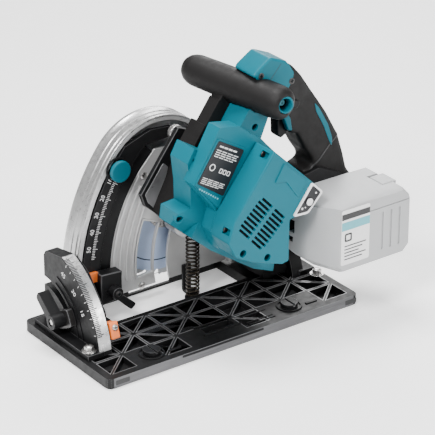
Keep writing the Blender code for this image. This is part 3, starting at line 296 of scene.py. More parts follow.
PRINT_TEAL = surface("print_pale_teal", (0.10, 0.36, 0.42), 0.5, blotch=0.05, scuff=0.0, **PRINTED)
PRINT_BLACK = surface("print_black", (0.010, 0.010, 0.011), 0.5, scuff=0.0, **PRINTED)
PLATE = surface("plate_charcoal", (0.010, 0.010, 0.012), 0.40, grain=2600, depth=0.01, blotch=0.08,
                scuff=0.02, shine=0.3)
COPPER = surface("wound_copper", (0.55, 0.24, 0.10), 0.35, 0.9, brushed=(1.0, 0.05, 1.0))
CIRCUIT = surface("circuit_green", (0.02, 0.15, 0.06), 0.4, grain=500, depth=0.05)
# Near-black painted shade for places that read dark only from shade: the cross recesses of screw heads, the
# sheet behind the cap's air slots and the floor of the bar's mouth
PAINTED_HOLE_SHADE = surface("painted_hole_shade", (0.004, 0.007, 0.008), 0.7, depth=0.02, scuff=0.0, shine=0.08)


# ---- shapes

class Shape:
    """Closed solids gathered in one mesh, in a frame and along an axis."""

    def __init__(self, place=edge, axis="Z"):
        self.bm = bmesh.new()
        self.place = place
        self.axis = axis

    def vert(self, u, v, w):
        return self.bm.verts.new(self.place(*ORDER[self.axis](u, v, w)))

    def skin(self, rings, closed=False):
        """Faces between rings of vertices; caps at both ends unless the rings close on each other."""
        pairs = list(zip(rings, rings[1:])) + ([(rings[-1], rings[0])] if closed else [])
        for first, second in pairs:
            count = len(first)
            for index in range(count):
                after = (index + 1) % count
                self.bm.faces.new((first[index], first[after], second[after], second[index]))
        if not closed:
            self.bm.faces.new(rings[0][::-1])
            self.bm.faces.new(rings[-1])
        return self

    def prism(self, outline, low, high, top=None):
        lower = [self.vert(u, v, low) for u, v in outline]
        upper = [self.vert(u, v, high) for u, v in (top or outline)]
        return self.skin([lower, upper])

    def frame_ring(self, outer, inner, low, high):
        """A flat ring between two outlines with the same number of points."""
        rings = [[self.vert(*a, low) for a in outer], [self.vert(*a, high) for a in outer],
                 [self.vert(*a, high) for a in inner], [self.vert(*a, low) for a in inner]]
        return self.skin(rings, closed=True)

    def lathe(self, centre, along, profile, sides=32, knurl=0.0, closed=False):
        """A profile of (radius, distance) turned about a line; a closed profile makes a ring."""
        direction = along.normalized()
        side = direction.orthogonal().normalized()
        up = direction.cross(side)
        rings = []
        for radius, distance in profile:
            ring = []
            for index in range(sides):
                angle = 2 * math.pi * index / sides
                reach = max(radius - (knurl if index % 2 and radius > knurl * 4 else 0.0), 0.02) * MM
                ring.append(self.bm.verts.new(centre + direction * distance * MM
                                              + side * reach * math.cos(angle) + up * reach * math.sin(angle)))
            rings.append(ring)
        return self.skin(rings, closed)

    def tube(self, points, radius, sides=8):
        """A round wire through world points."""
        rings = []
        for index, point in enumerate(points):
            ahead = points[min(index + 1, len(points) - 1)] - points[max(index - 1, 0)]
            direction = ahead.normalized()
            side = direction.cross(UPWARDS)
            side = side.normalized() if side.length > 1e-6 else Vector((1, 0, 0))
            up = side.cross(direction)
            rings.append([self.bm.verts.new(point + (side * math.cos(2 * math.pi * i / sides)
                                                     + up * math.sin(2 * math.pi * i / sides)) * radius * MM)
                          for i in range(sides)])
        return self.skin(rings)

    def mesh(self, name):
        bmesh.ops.recalc_face_normals(self.bm, faces=self.bm.faces)
        mesh = bpy.data.meshes.new(name)
        self.bm.to_mesh(mesh)
        self.bm.free()
        return mesh

    def piece(self, name, *settings, **options):
        return settle(self.mesh(name), name, *settings, **options)


def slab(name, body, place, outline, low, high, *settings):
    """A piece that is one outline made thick across the saw."""
    return Shape(place, "Y").prism(outline, low, high).piece(name, body, *settings)


def turning(name, body, centre, along, profile, sides, *settings, **options):
    """A piece that is one profile turned about a line."""
    return Shape().lathe(centre, along, profile, sides).piece(name, body, *settings, **options)


def settle(mesh, name, body, material, bevel=0.0, segments=3, replaces=(), slot=None):
    """Turns a mesh into a finished piece that rides on a body."""
    mesh.shade_smooth()
    mesh.set_sharp_from_angle(angle=math.radians(38.0))
    obj = added(name, mesh)
    obj.data.materials.append(material)
    if bevel:
        round_edges(obj, bevel, segments)
    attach(obj, body)
    if replaces:
        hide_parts(*replaces)
    return obj


def round_edges(obj, width, segments=3, angle=30.0, material=-1):
    bevel = obj.modifiers.new("edges", "BEVEL")
    bevel.width = width * MM
    bevel.segments = segments
    bevel.limit_method = "ANGLE"
    bevel.angle_limit = math.radians(angle)
    bevel.harden_normals = True
    bevel.miter_outer = "MITER_ARC"
    bevel.material = material
    return bevel


def boolean(obj, name, tool):
    cut = obj.modifiers.new(name, "BOOLEAN")
    cut.object = tool
    return cut


def cutter(shape, name, body):
    """A hidden solid for boolean modifiers that moves with its body."""
    obj = added(name, shape.mesh(name))
    obj.hide_render = True
    obj.display_type = "WIRE"
    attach(obj, body)
    return obj


def dress(node, material, bevel=0.4, segments=2, edge_material=None, cutters=()):
    """Material and rounded edges on a CAD node that stays in view, with cut details first."""
    obj = NODES[node]
    for slot in obj.material_slots:
        slot.material = material
    weld = obj.modifiers.new("weld", "WELD")
    weld.merge_threshold = 0.002 * MM
    planar = obj.modifiers.new("planar", "DECIMATE")
    planar.decimate_type = "DISSOLVE"
    planar.angle_limit = math.radians(0.6)
    for tool in cutters:
        boolean(obj, "cut", tool)
    if bevel:
        index = -1
        if edge_material:
            obj.data.materials.append(edge_material)
            index = len(obj.data.materials) - 1
        round_edges(obj, bevel, segments, 28.0, index)
    normals = obj.modifiers.new("normals", "WEIGHTED_NORMAL")
    normals.keep_sharp = False
    return obj


# ---- fittings

def across(direction):
    """Two unit vectors square to a unit direction."""
    side = direction.cross(UPWARDS)
    if side.length < 1e-3:
        side = Vector((1, 0, 0))
    side.normalize()
    return side, direction.cross(side)


def screws(name, body, centres, along, radius=3.6, height=2.0, material=DARK_STEEL):
    """Round screw heads with dark crosses of painted shade in place of the cross recesses; along points out of
    the surface.
    """
    heads = Shape()
    crosses = Shape()
    out = along.normalized()
    side, up = across(out)
    for centre in centres:
        heads.lathe(centre, out, [(radius, -0.6), (radius, height * 0.4), (radius * 0.85, height * 0.8),
                                  (radius * 0.5, height), (radius * 0.1, height)], 24)
        # The crosses are raised near-black bars, painted shade standing for the recesses
        for first, second in ((side, up), (up, side)):
            corners = [centre + (first * a * radius * 0.58 + second * b * radius * 0.16) * MM
                       for a, b in ((-1, -1), (1, -1), (1, 1), (-1, 1))]
            crosses.skin([[crosses.bm.verts.new(corner + out * level * MM) for corner in corners]
                          for level in (height * 0.5, height + 0.12)])
    heads.piece(name, body, material, slot="dark_steel")
    crosses.piece(name + "_crosses", body, PAINTED_HOLE_SHADE)


def screw_wells(prefix, body, place, spots, radius):
    """Sunken round wells in a moulding; a spot gives x, z, the open level, the floor and the half angle
    of the wall on its inner side, 180 for a whole ring.
    """
    bores = Shape(place, "Y")
    cups = Shape(place, "Y")
    centres = []
    for x, z, start, floor, reach in spots:
        bores.prism(circle(radius, 28, (x, z)), start, floor)
        lip = max(start, floor - 11.0) + 3.4
        if reach == 180:
            outer = circle(radius + 1.2, 28, (x, z))
            cups.frame_ring(outer, circle(radius - 0.05, 28, (x, z)), lip, floor + 0.5)
            cups.prism(circle(radius + 0.6, 28, (x, z)), floor, floor + 0.8)
        else:
            def spoke(distance, degrees, x=x, z=z):
                angle = math.radians(degrees)
                return x + distance * math.cos(angle), z + distance * math.sin(angle)
            cups.prism(band(spoke, radius - 0.05, radius + 1.2, -reach, reach, 20), start, floor + 0.5)
            cups.prism(band(spoke, 0.05, radius + 0.6, -reach, reach, 20), floor, floor + 0.8)
        centres.append(place(x + (0.0 if reach == 180 else 1.4), floor, z))
    cups.piece(prefix + "_wells", body, TEAL)
    screws(prefix + "_screws", body, centres, place(0, -1, 0) - place(0, 0, 0), radius * 0.7, 1.6)
    return cutter(bores, prefix + "_bores", body)


def settled_mesh(obj):
    """A new mesh of an object with its modifiers or its text applied."""
    return bpy.data.meshes.new_from_object(obj.evaluated_get(bpy.context.evaluated_depsgraph_get()))


def figures(name, body, texts, material):
    """Raised numbers: each has a text, a world point, a baseline direction, an up direction and a size."""
    bm = bmesh.new()
    for text, at, right, up, size in texts:
        curve = bpy.data.curves.new("figure", "FONT")
        curve.body = text
        curve.size = size * MM
        curve.extrude = 0.12 * MM
        curve.resolution_u = 3
        curve.align_x = "CENTER"
        curve.align_y = "CENTER"
        helper = added("figure", curve)
        bpy.context.view_layer.update()
        mesh = settled_mesh(helper)
        out = right.cross(up)
        turn = Matrix((right, up, out)).transposed().to_4x4()
        mesh.transform(Matrix.Translation(at) @ turn)
        bm.from_mesh(mesh)
        bpy.data.meshes.remove(mesh)
        bpy.data.objects.remove(helper, do_unlink=True)
        bpy.data.curves.remove(curve)
    bmesh.ops.remove_doubles(bm, verts=bm.verts, dist=0.001 * MM)
    mesh = bpy.data.meshes.new(name)
    bm.to_mesh(mesh)
    bm.free()
    return settle(mesh, name, body, material)


# ---- camera, light and floor

CAMERA_AZIMUTH = math.radians(35.971)
CAMERA_ELEVATION = math.radians(25.704)
CAMERA_AT = (-1.3824, -1.9515, 1.2745)
CAMERA_LENS = 198.6
SENSOR_WIDTH = 36.0
WORLD_STRENGTH = 0.32
LIGHT_TARGET = Vector((0.0, 0.0, 0.1))
# Each lamp has a name, a place and a disc size in metres, and a power in watts
LAMPS = (("key", (-1.25, -0.75, 1.65), 0.6, 62.0), ("front", (0.9, -1.7, 1.0), 0.9, 30.0),
         ("top", (0.0, 0.3, 1.8), 0.8, 50.0), ("rear", (1.1, 1.1, 1.1), 1.0, 20.0))
FLOOR_REACH = 8000.0
FLOOR_LEVELS = (-20.0, -0.3)
FLOOR_GLOW = 0.35
WHITE = (1.0, 1.0, 1.0, 1.0)


def build_camera():
    back = Vector((-math.sin(CAMERA_AZIMUTH) * math.cos(CAMERA_ELEVATION),
                   -math.cos(CAMERA_AZIMUTH) * math.cos(CAMERA_ELEVATION), math.sin(CAMERA_ELEVATION)))
    camera = bpy.data.cameras.new("camera")
    camera.lens = CAMERA_LENS
    camera.sensor_width = SENSOR_WIDTH
    camera.clip_start = 0.1
    camera.clip_end = 50.0
    viewer = added("camera", camera)
    viewer.location = CAMERA_AT
    viewer.rotation_mode = "QUATERNION"
    viewer.rotation_quaternion = (-back).to_track_quat("-Z", "Y")
    bpy.context.scene.camera = viewer


def build_lights():
    world = bpy.data.worlds.new("studio")
    bpy.context.scene.world = world
    world.use_nodes = True
    world.node_tree.nodes["Background"].inputs["Color"].default_value = WHITE
    world.node_tree.nodes["Background"].inputs["Strength"].default_value = WORLD_STRENGTH
    for name, place, size, power in LAMPS:
        light = bpy.data.lights.new(name, "AREA")
        light.shape = "DISK"
        light.size = size
        light.energy = power
        lamp = added(name, light)
        lamp.location = place
        lamp.rotation_euler = (LIGHT_TARGET - Vector(place)).to_track_quat("-Z", "Y").to_euler()


def build_floor():
    sheet = rectangle((-FLOOR_REACH, -FLOOR_REACH), (FLOOR_REACH, FLOOR_REACH))
    floor = added("floor", Shape(edge, "Z").prism(sheet, *FLOOR_LEVELS).mesh("floor"))
    paper = surface("floor_paper", (0.93, 0.93, 0.93), 0.85, grain=300, depth=0.02, blotch=0.01, scuff=0.0)
    glow = paper.node_tree.nodes["Principled BSDF"].inputs
    glow["Emission Color"].default_value = WHITE
    glow["Emission Strength"].default_value = FLOOR_GLOW
    floor.data.materials.append(paper)


# ---- base and quadrants

CLAMP_AT = bevel_point(62.0, 36.0)
ADJUSTERS = ((71.0, 23.0), (259.0, 23.0))
BOLTS = ((13.0, 58.0), (326.0, 58.0))
TRUSS_X = [8.0 + 36.1 * index for index in range(10)]
TRUSS_Y = [8.0, 40.0, 71.0, 101.0]
SOLID_X = (71.0, 259.0, 150.0, 182.0)


def inset(triangle, distance):
    """An anticlockwise triangle moved inwards by a distance."""
    result = []
    for index, corner in enumerate(triangle):
        normals = []
        for first, second in ((triangle[index - 1], corner), (corner, triangle[(index + 1) % 3])):
            length = math.dist(first, second)
            normals.append((-(second[1] - first[1]) / length, (second[0] - first[0]) / length))
        total = [a + b for a, b in zip(*normals)]
        size = total[0] ** 2 + total[1] ** 2
        result.append(tuple(c + t * 2 * distance / size for c, t in zip(corner, total)))
    return result


def truss_edges(shape):
    """Bright worn edges round the triangular pockets of the base."""
    for column in range(len(TRUSS_X) - 1):
        for row in range(len(TRUSS_Y) - 1):
            left, right = TRUSS_X[column:column + 2]
            near, far = TRUSS_Y[row:row + 2]
            if row == 0 and any(left - 2 < x < right + 2 for x in SOLID_X):
                continue
            a, b, c, d = rectangle((left, near), (right, far))
            for half in ((a, b, d), (b, c, d)) if (column + row) % 2 else ((a, b, c), (a, c, d)):
                shape.frame_ring(inset(half, 1.05), inset(half, 1.75), BASE_TOP - 0.5, BASE_TOP + 0.18)


def build_base():
    worn = Shape(edge, "Z")
    truss_edges(worn)
    worn.piece("base_worn_edges", "base", WORN_EDGE)
    dress("base_plate", BASE_METAL, 0.45, 2, WORN_EDGE)
    for name in ("base_bolt_front", "base_bolt_rear"):
        dress(name, STEEL, 0.5)
    for end in ("front", "rear"):
        dress(f"rail_adjuster_{end}", BLACK, 0.8, 3, DULL_EDGE)
        dress(f"{end}_quadrant", CAST_BLACK, 0.7, 2, DULL_EDGE)
    washers = Shape(edge, "Z")
    domes = Shape()
    for x, y in BOLTS:
        washers.prism(circle(8.2, 32, (x, y)), 18.35, 19.1)
        washers.prism(circle(6.8, 32, (x, y)), 19.1, 20.0)
        domes.lathe(edge(x, y, 24.2), UPWARDS, [(4.4, -0.5), (4.4, 0.3), (3.0, 1.0), (0.4, 1.2)], 24)
    washers.piece("base_washers", "base", STEEL, 0.25)
    domes.piece("base_bolt_domes", "base", STEEL)

    ribs = Shape(edge, "Z")
    foot = BASE_TOP - 1.0
    ribs.prism(rounded(rectangle((52.0, 101.6), (264.0, 104.4)), 1.3), foot, 13.6)
    for x, y in ADJUSTERS:
        ribs.frame_ring(circle(15.0, 40, (x, y)), circle(12.6, 40, (x, y)), foot, 13.4)
        ribs.prism(rounded(rectangle((x + 18, y - 9), (x + 34, y - 5)), 1.5), foot, 13.2)
    for y in (12.0, 17.0, 31.0):
        ribs.prism(rounded(rectangle((196.0, y), (232.0, y + 1.6)), 0.7), foot, 12.9)
    for y in (40.5, 20.5):
        ribs.prism(rounded(rectangle((140.0, y), (192.0, y + 2.0)), 0.9), foot, 13.4)
    ribs.piece("base_raised_ribs", "base", CAST_BLACK, 0.5)

    insets = Shape(edge, "Y")
    insets.prism(rounded(rectangle((9.0, 3.2), (27.0, 8.8)), 1.0), -0.25, 0.4)
    insets.prism(rounded(rectangle((322.0, 2.6), (338.0, 8.4)), 1.0), -0.25, 0.4)
    insets.piece("base_side_insets", "base", PRINT_BLACK, 0.1)
    channel = Shape(edge, "Y")
    channel.prism(rectangle((96.0, 8.4), (206.0, 11.2)), -0.2, 0.4, rectangle((98.0, 8.4), (204.0, 11.2)))
    channel.piece("base_side_channel", "base", CAST_BLACK, 0.1)


def build_front_quadrant():
    face = QUADRANT_FRONT_X
    outer = QUADRANT_RADIUS
    rim = Shape(edge, "X")
    rim.prism(band(bevel_point, outer - 0.6, outer + 0.35, 9.0, 69.6, 40), face + 0.5, QUADRANT_REAR_X - 0.4)
    rim.piece("quadrant_rim", "base", RIM_SILVER, 0.15)
    ticks = Shape(edge, "X")
    for bevel in range(-1, 49):
        angle = POINTER_ANGLE + bevel
        reach = 9.0 if bevel % 15 == 0 else (7.6 if bevel % 5 == 0 else 6.0)
        tick = band(bevel_point, outer, outer + 0.5, angle - 0.3, angle + 0.3, 1)
        ticks.prism(tick, face + 0.4, face + 0.4 + reach)
    ticks.piece("quadrant_ticks", "base", PRINT_BLACK)
    white = Shape(edge, "X")
    for bevel in range(0, 49, 5):
        angle = POINTER_ANGLE + bevel
        tick = band(bevel_point, outer - 5.0, outer - 1.2, angle - 0.16, angle + 0.16, 1)
        white.prism(tick, face - 0.15, face + 0.2)
    white.piece("quadrant_face_ticks", "base", PRINT_WHITE)
    texts = []
    for bevel in (15, 30, 45):
        angle = math.radians(POINTER_ANGLE + bevel)
        y, z = bevel_point(93.0, POINTER_ANGLE + bevel)
        outward = Vector((0.0, -math.cos(angle), math.sin(angle)))
        right = Vector((0.0, -math.sin(angle), -math.cos(angle)))
        texts.append((str(bevel), edge(face, y, z), right, outward, 8.5))
    figures("quadrant_figures", "base", texts, PRINT_WHITE)
    arcs = Shape(edge, "X")
    for low, high in ((80.0, 82.0), (71.0, 72.4)):
        arcs.prism(band(bevel_point, low, high, 14.0, 70.0, 30), face - 1.0, face + 0.4)
    arcs.prism(band(bevel_point, outer - 3.0, outer, 12.0, 69.0, 30), face - 0.12, face + 0.3)
    arcs.piece("quadrant_face_ridges", "base", CAST_BLACK, 0.4)


def build_clamps():
    dress("clamp_bolt_front", DARK_STEEL, 0.8, 2, DULL_EDGE)
    dress("clamp_lever_front", BLACK, 1.6, 3)
    y, z = CLAMP_AT
    tip = [(2.6, 0.0), (3.8, 0.8), (3.8, 11.0), (2.0, 11.0)]
    turning("clamp_bolt_tip", "case", edge(-3.4, y, z), REARWARDS, tip, 24, STEEL)
    collar = [(8.5, -0.4), (8.5, 2.4), (6.5, 2.4), (6.5, -0.4)]
    turning("clamp_collar", "case", edge(20.0, y, z), FORWARDS, collar, 32, DARK_STEEL, 0.3)
    dress("bevel_pointer", ORANGE, 1.4, 3)
    screw_angle = POINTER_ANGLE + 1.5
    angle = math.radians(screw_angle)
    outward = Vector((0.0, -math.cos(angle), math.sin(angle)))
    screws("pointer_screw", "case", [edge(44.0, *bevel_point(QUADRANT_RADIUS + 1.0, screw_angle))], outward,
           3.6, 1.8, STEEL)


# ---- blade case

CASE_BOTTOM = 18.0
# Each arc of the case's outline has a centre, a radius, its first and last angle and its steps
CASE_ARCS = ((292.0, 50.0, 240.0, 180.0, 142.0, 20), (162.0, 151.6, 75.0, 138.0, 58.0, 24),
             (121.8, 94.2, 145.0, 52.0, 0.0, 16))
CASE_FRONT_X = 54.3
CASE_REAR_X = 266.8
CASE_BACK_Y = 167.6
ACCESS_AT = (166.2, 26.5)
# The rim's section round the case: how far out and at what Y
RIM_PROFILE = ((-0.6, 138.15), (1.6, 138.15), (2.2, 138.8), (2.2, 141.4), (0.8, 142.4), (0.8, 144.6),
               (1.7, 145.6), (1.7, 151.0), (1.0, 151.8), (1.0, 153.4), (1.7, 154.2), (1.7, 162.6),
               (2.4, 163.6), (2.4, 167.2), (1.9, 168.2), (-0.6, 168.2))


def case_outline(grow):
    """Side outline of the blade case, moved outwards."""
    points = [(CASE_FRONT_X - grow, CASE_BOTTOM)]
    for x, z, radius, start, end, steps in CASE_ARCS:
        for index in range(steps + 1):
            angle = math.radians(start + (end - start) * index / steps)
            points.append((x + (radius + grow) * math.cos(angle), z + (radius + grow) * math.sin(angle)))
    return points + [(CASE_REAR_X + grow, CASE_BOTTOM)]


def access_point(radius, degrees):
    """X and Z of a point about the opening for the blade bolt."""
    angle = math.radians(degrees)
    return ACCESS_AT[0] + radius * math.cos(angle), ACCESS_AT[1] + radius * math.sin(angle)


def build_case_back():
    """Raised border, cover panel and screws on the case's outer face."""
    border = Shape(edge, "Y")
    border.frame_ring(case_outline(-5.0), case_outline(-8.5), CASE_BACK_Y, 168.9)
    border.piece("case_border", "case", RIM_SILVER, 0.5)
    panel = [(112, 30), (138, 30), (140, 44), (152, 54), (181, 54), (193, 44), (195, 30), (222, 30),
             (222, 96), (206, 118), (128, 118), (112, 96)]
    slab("case_panel", "case", edge, rounded(panel, 8.0), CASE_BACK_Y, 168.8, CAST_BLACK, 0.7)
    ribs = Shape(edge, "Y")
    for index in range(6):
        x = 126.0 + 16.0 * index
        ribs.prism(rounded(rectangle((x - 2.0, 66.0), (x + 2.0, 108.0)), 1.9), 168.4, 169.7)
    ribs.piece("case_panel_ribs", "case", CAST_BLACK, 0.6)
    collar = band(access_point, 20.2, 23.0, -18.0, 198.0, 28)
    slab("bolt_access_rim", "case", edge, collar, CASE_BACK_Y, 169.4, CAST_BLACK, 0.5)
    corners = ((120.0, 38.0), (214.0, 38.0), (128.0, 104.0), (206.0, 104.0))
    screws("case_panel_screws", "case", [edge(x, 168.6, z) for x, z in corners], FARWARDS, 3.6, 1.2, STEEL)


def depth_angle(depth):
    """Angle about the plunge axis of a mark on the depth scale."""
    return 11.0 + (50 - depth) * 0.515


def build_depth_scale():
    face = CASE_FACE_Y
    scale = Shape(edge, "Y")
    for depth in range(9, 57):
        angle = depth_angle(depth)
        inner = 214.5 if depth % 10 == 0 else (216.0 if depth % 5 == 0 else 217.5)
        tick = band(plunge_point, inner, 221.0, angle - 0.075, angle + 0.075, 1)
        scale.prism(tick, face - 0.2, face + 0.3)
    scale.piece("depth_ticks", "case", PRINT_WHITE)
    texts = []
    for depth in (10, 20, 30, 40, 50):
        x, z = plunge_point(226.0, depth_angle(depth))
        tilt = math.radians(depth_angle(depth))
        right = Vector((math.sin(tilt), 0.0, math.cos(tilt)))
        up = Vector((-math.cos(tilt), 0.0, math.sin(tilt)))
        texts.append((str(depth), edge(x, face - 0.1, z), right, up, 7.4))
    figures("depth_figures", "case", texts, PRINT_WHITE)


def build_case():
    dress("blade_case", CAST_SILVER, 0.6, 2)
    rim = Shape(edge, "Y")
    outlines = [case_outline(grow) for grow, _ in RIM_PROFILE]
    rim.skin([[rim.vert(*point, y) for point, (_, y) in zip(section, RIM_PROFILE)]
              for section in zip(*outlines)])
    rim.piece("case_rim", "case", RIM_SILVER)

    build_case_back()
    dress("depth_guide", BLACK, 0.5, 2, DULL_EDGE)
    build_depth_scale()
    channel = band(plunge_point, COVER_RADIUS + 0.4, GUIDE_RADII[0] + 1.0, -7.0, 46.0, 40)
    slab("guide_channel", "case", edge, channel, COVER_FACE_Y + 0.2, COVER_FACE_Y + 2.0, BLACK)
    lips = Shape(edge, "Y")
    lips.prism(band(plunge_point, GUIDE_RADII[0], GUIDE_RADII[0] + 1.8, -6.8, 45.0, 40), CASE_FACE_Y - 0.15,
               CASE_FACE_Y + 0.5)
    lips.prism(band(plunge_point, 222.8, 223.4, -6.8, 41.0, 40), CASE_FACE_Y - 0.12, CASE_FACE_Y + 0.4)
    lips.piece("guide_lips", "case", CAST_BLACK, 0.1)

    build_inner_cover()
    dress("scoring_stop_button", TEAL, 1.3, 4)
    low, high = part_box("scoring_stop_button")
    centre = (low + high) / 2
    collar = Shape()
    collar.lathe(Vector((centre.x, edge(0, CASE_FACE_Y, 0).y, centre.z)), NEARWARDS,
                 [(14.2, -0.4), (14.2, 0.5), (13.4, 1.2), (12.4, 1.2), (12.4, -0.4)], 40, closed=True)
    collar.piece("scoring_collar", "case", BLACK)


def build_inner_cover():
    dress("inner_cover", CAST_SILVER, 0.5, 2)
    ribs = Shape(edge, "Y")
    for inner, outer, start, end in ((187.0, 191.2, -7.0, 37.0), (179.0, 182.0, -5.0, 34.0),
                                     (170.0, 173.0, -3.5, 31.0), (161.8, 164.4, -5.0, 27.0)):
        ribs.prism(band(plunge_point, inner, outer, start, end, 36), 136.9, COVER_FACE_Y + 0.6)
    ribs.piece("cover_ribs", "case", CAST_SILVER, 1.0, 4)
    inner_ring = band(plunge_point, WINDOW_RADII[0] - 0.2, WINDOW_RADII[1] + 0.2, -4.1, 21.1, 20)
    outer_ring = band(plunge_point, WINDOW_RADII[0] - 2.4, WINDOW_RADII[1] + 2.4, -5.1, 22.1, 20)
    window = Shape(edge, "Y")
    window.frame_ring(outer_ring, inner_ring, 138.2, COVER_FACE_Y + 0.8)
    window.piece("window_frame", "case", CAST_SILVER, 0.6)
    bosses = Shape()
    profile = [(4.6, -0.4), (4.6, 0.6), (3.4, 1.6), (1.0, 1.9)]
    for radius, angle in ((152.0, -9.0), (182.0, 37.5), (70.0, 70.0)):
        x, z = plunge_point(radius, angle)
        bosses.lathe(edge(x, COVER_FACE_Y, z), NEARWARDS, profile, 28)
    bosses.piece("cover_bosses", "case", STEEL)


def build_depth_stop():
    dress("depth_stop", BLACK, 1.2, 3, DULL_EDGE)
    dress("depth_stop_lever", BLACK, 1.6, 3, DULL_EDGE)
    dress("depth_pointer", ORANGE, 0.5, 2)
    x, z = plunge_point(200.0, -2.3)
    screws("stop_lever_screw", "depth_stop_lever", [edge(x, 112.2, z)], NEARWARDS, 3.8, 1.6)
    ridges = Shape(edge, "Y")
    for index in range(4):
        ridge = band(plunge_point, 190.0, 211.0, -4.4 + index * 0.9, -4.0 + index * 0.9, 2)
        ridges.prism(ridge, 121.5, 122.6)
    ridges.piece("depth_stop_ridges", "depth_stop", BLACK, 0.2, 2)


def build_brackets():
    for node in ("case_bracket_front", "pivot_bracket"):
        dress(node, CAST_BLACK, 0.8, 2, DULL_EDGE)
    dress("plunge_pin", STEEL, 0.6)
    dress("spring_seat", CAST_BLACK, 0.5)
    dress("dust_nozzle", BLACK, 0.8, 2)
    rings = Shape()
    for distance in (12.0, 17.0, 22.0, 36.0):
        rings.lathe(edge(268.0 + distance, 152.0, 104.0), REARWARDS,
                    [(10.0, 0.0), (12.2, 0.3), (12.2, 2.0), (10.0, 2.3)], 40)
    rings.piece("nozzle_rings", "dust_nozzle", BLACK)


def build_spring():
    sides = 24
    steps = SPRING_COILS * sides
    low = SPRING_Z[0] + 1.2
    high = SPRING_Z[1] - 1.2
    points = []
    for index in range(steps + 1):
        turn = 2 * math.pi * index / sides
        points.append(edge(SPRING_AT[0] + SPRING_RADIUS * math.cos(turn),
                           SPRING_AT[1] + SPRING_RADIUS * math.sin(turn), low + (high - low) * index / steps))
    wire = Shape().tube(points, WIRE_RADIUS, 8)
    spring = wire.piece("spring_wire", "case", SPRING_STEEL, replaces=("return_spring",))
    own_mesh(spring)


# ---- head casings

CAP_OUTLINE = [(-166, 116), (-178, 30), (-173, 6), (-153, -6), (-128, -5), (-87, 3), (-80, 9), (-104, 52),
               (-86, 65), (-77, 94), (-96, 99)]
CAP_MIDDLE = (-128.0, 50.0)
MOTOR_AT = (-140.06, 38.2)
VENT_TILT = math.radians(-17.0)
VENT_REACH = 30.0
VENT_STEP = 5.2
# Each screw well has an x, a z, its open level, its floor and the half angle of its inner wall
CAP_WELLS = ((-165.2, 107.4, -16.5, -4.0, 100), (-173.2, 17.6, -19.5, -7.0, 100),
             (-147.5, 1.0, -23.0, -11.0, 180), (-112.0, 5.2, -23.0, -11.0, 180))
HOUSING_WELLS = ((-158.8, 128.1, 29.0, 38.0, 180), (-217.5, 72.0, 29.0, 38.0, 180),
                 (-203.0, 7.0, 29.0, 38.0, 180))


def vent_slots(shape):
    """Slanted air slots in two columns, kept inside a circle round the motor axis."""
    cos = math.cos(VENT_TILT)
    sin = math.sin(VENT_TILT)
    for side in (-1, 1):
        for row in range(-4, 5):
            v = row * VENT_STEP
            reach = min(math.sqrt(VENT_REACH ** 2 - v ** 2), 24.0)
            ends = sorted((side * 2.5, side * reach))
            slot = rounded(rectangle((ends[0], v - 1.5), (ends[1], v + 1.5)), 0.8, 2)
            shape.prism([(MOTOR_AT[0] + u * cos - w * sin, MOTOR_AT[1] + u * sin + w * cos) for u, w in slot],
                        CAP_FACE_Y - 1.0, CAP_FACE_Y + 4.0)


def build_cap_shell(wells):
    """The motor's end cap: a shell with rounded edges, air slots and screw wells."""
    slots = Shape(head, "Y")
    vent_slots(slots)
    inner = [(CAP_MIDDLE[0] + (x - CAP_MIDDLE[0]) * 0.93, CAP_MIDDLE[1] + (z - CAP_MIDDLE[1]) * 0.94)
             for x, z in CAP_OUTLINE]
    room = Shape(head, "Y").prism(inner, CAP_FACE_Y + 3.0, 14.0)
    outside = Shape(head, "Y").prism(CAP_OUTLINE, CAP_FACE_Y, 12.0)
    shell = outside.piece("cap_shell", "head", TEAL, 1.8, 4, replaces=("motor_end_cap",))
    for tool in (cutter(room, "cap_room", "head"), cutter(slots, "cap_slots", "head"), wells):
        boolean(shell, "cut", tool)


def build_cap():
    build_cap_shell(screw_wells("cap", "head", head, CAP_WELLS, 4.3))
    crest = [(-147, 108), (-106, 98.5), (-108, 78), (-134, 90), (-148, 84)]
    slab("cap_crest", "head", head, rounded(crest, 2.5), CAP_FACE_Y - 1.4, CAP_FACE_Y + 0.6, TEAL, 0.9)
    # A near-black disc just behind the air slots: painted shade that makes the slots read dark and hides the
    # parts inside
    slot_shade_disc = circle(33.0, 40, MOTOR_AT)
    slab("vent_slot_shade", "head", head, slot_shade_disc, CAP_FACE_Y + 3.2, CAP_FACE_Y + 3.8, PAINTED_HOLE_SHADE)

    dress("link_panel", PLATE, 0.3, 2)
    dress("link_button", LABEL_WHITE, 0.6, 3)
    panel = [(-96, 96), (-80.5, 92), (-87, 67), (-101, 60)]
    grown = [(-98.2, 98.8), (-77.6, 93.6), (-84.9, 65.2), (-103.2, 56.2)]
    ring = Shape(head, "Y")
    ring.frame_ring(rounded(grown, 3.5), rounded(panel, 2.4), CAP_FACE_Y - 2.2, CAP_FACE_Y + 0.4)
    ring.piece("link_panel_frame", "head", LABEL_WHITE, 0.3)
    marks = Shape(head, "Y")
    for x, z, radius in ((-87.0, 89.5, 1.2), (-96.0, 68.0, 1.3), (-92.6, 70.4, 0.8)):
        marks.prism(circle(radius, 16, (x, z)), CAP_FACE_Y - 2.0, CAP_FACE_Y - 1.5)
    marks.piece("link_panel_marks", "head", PRINT_WHITE)


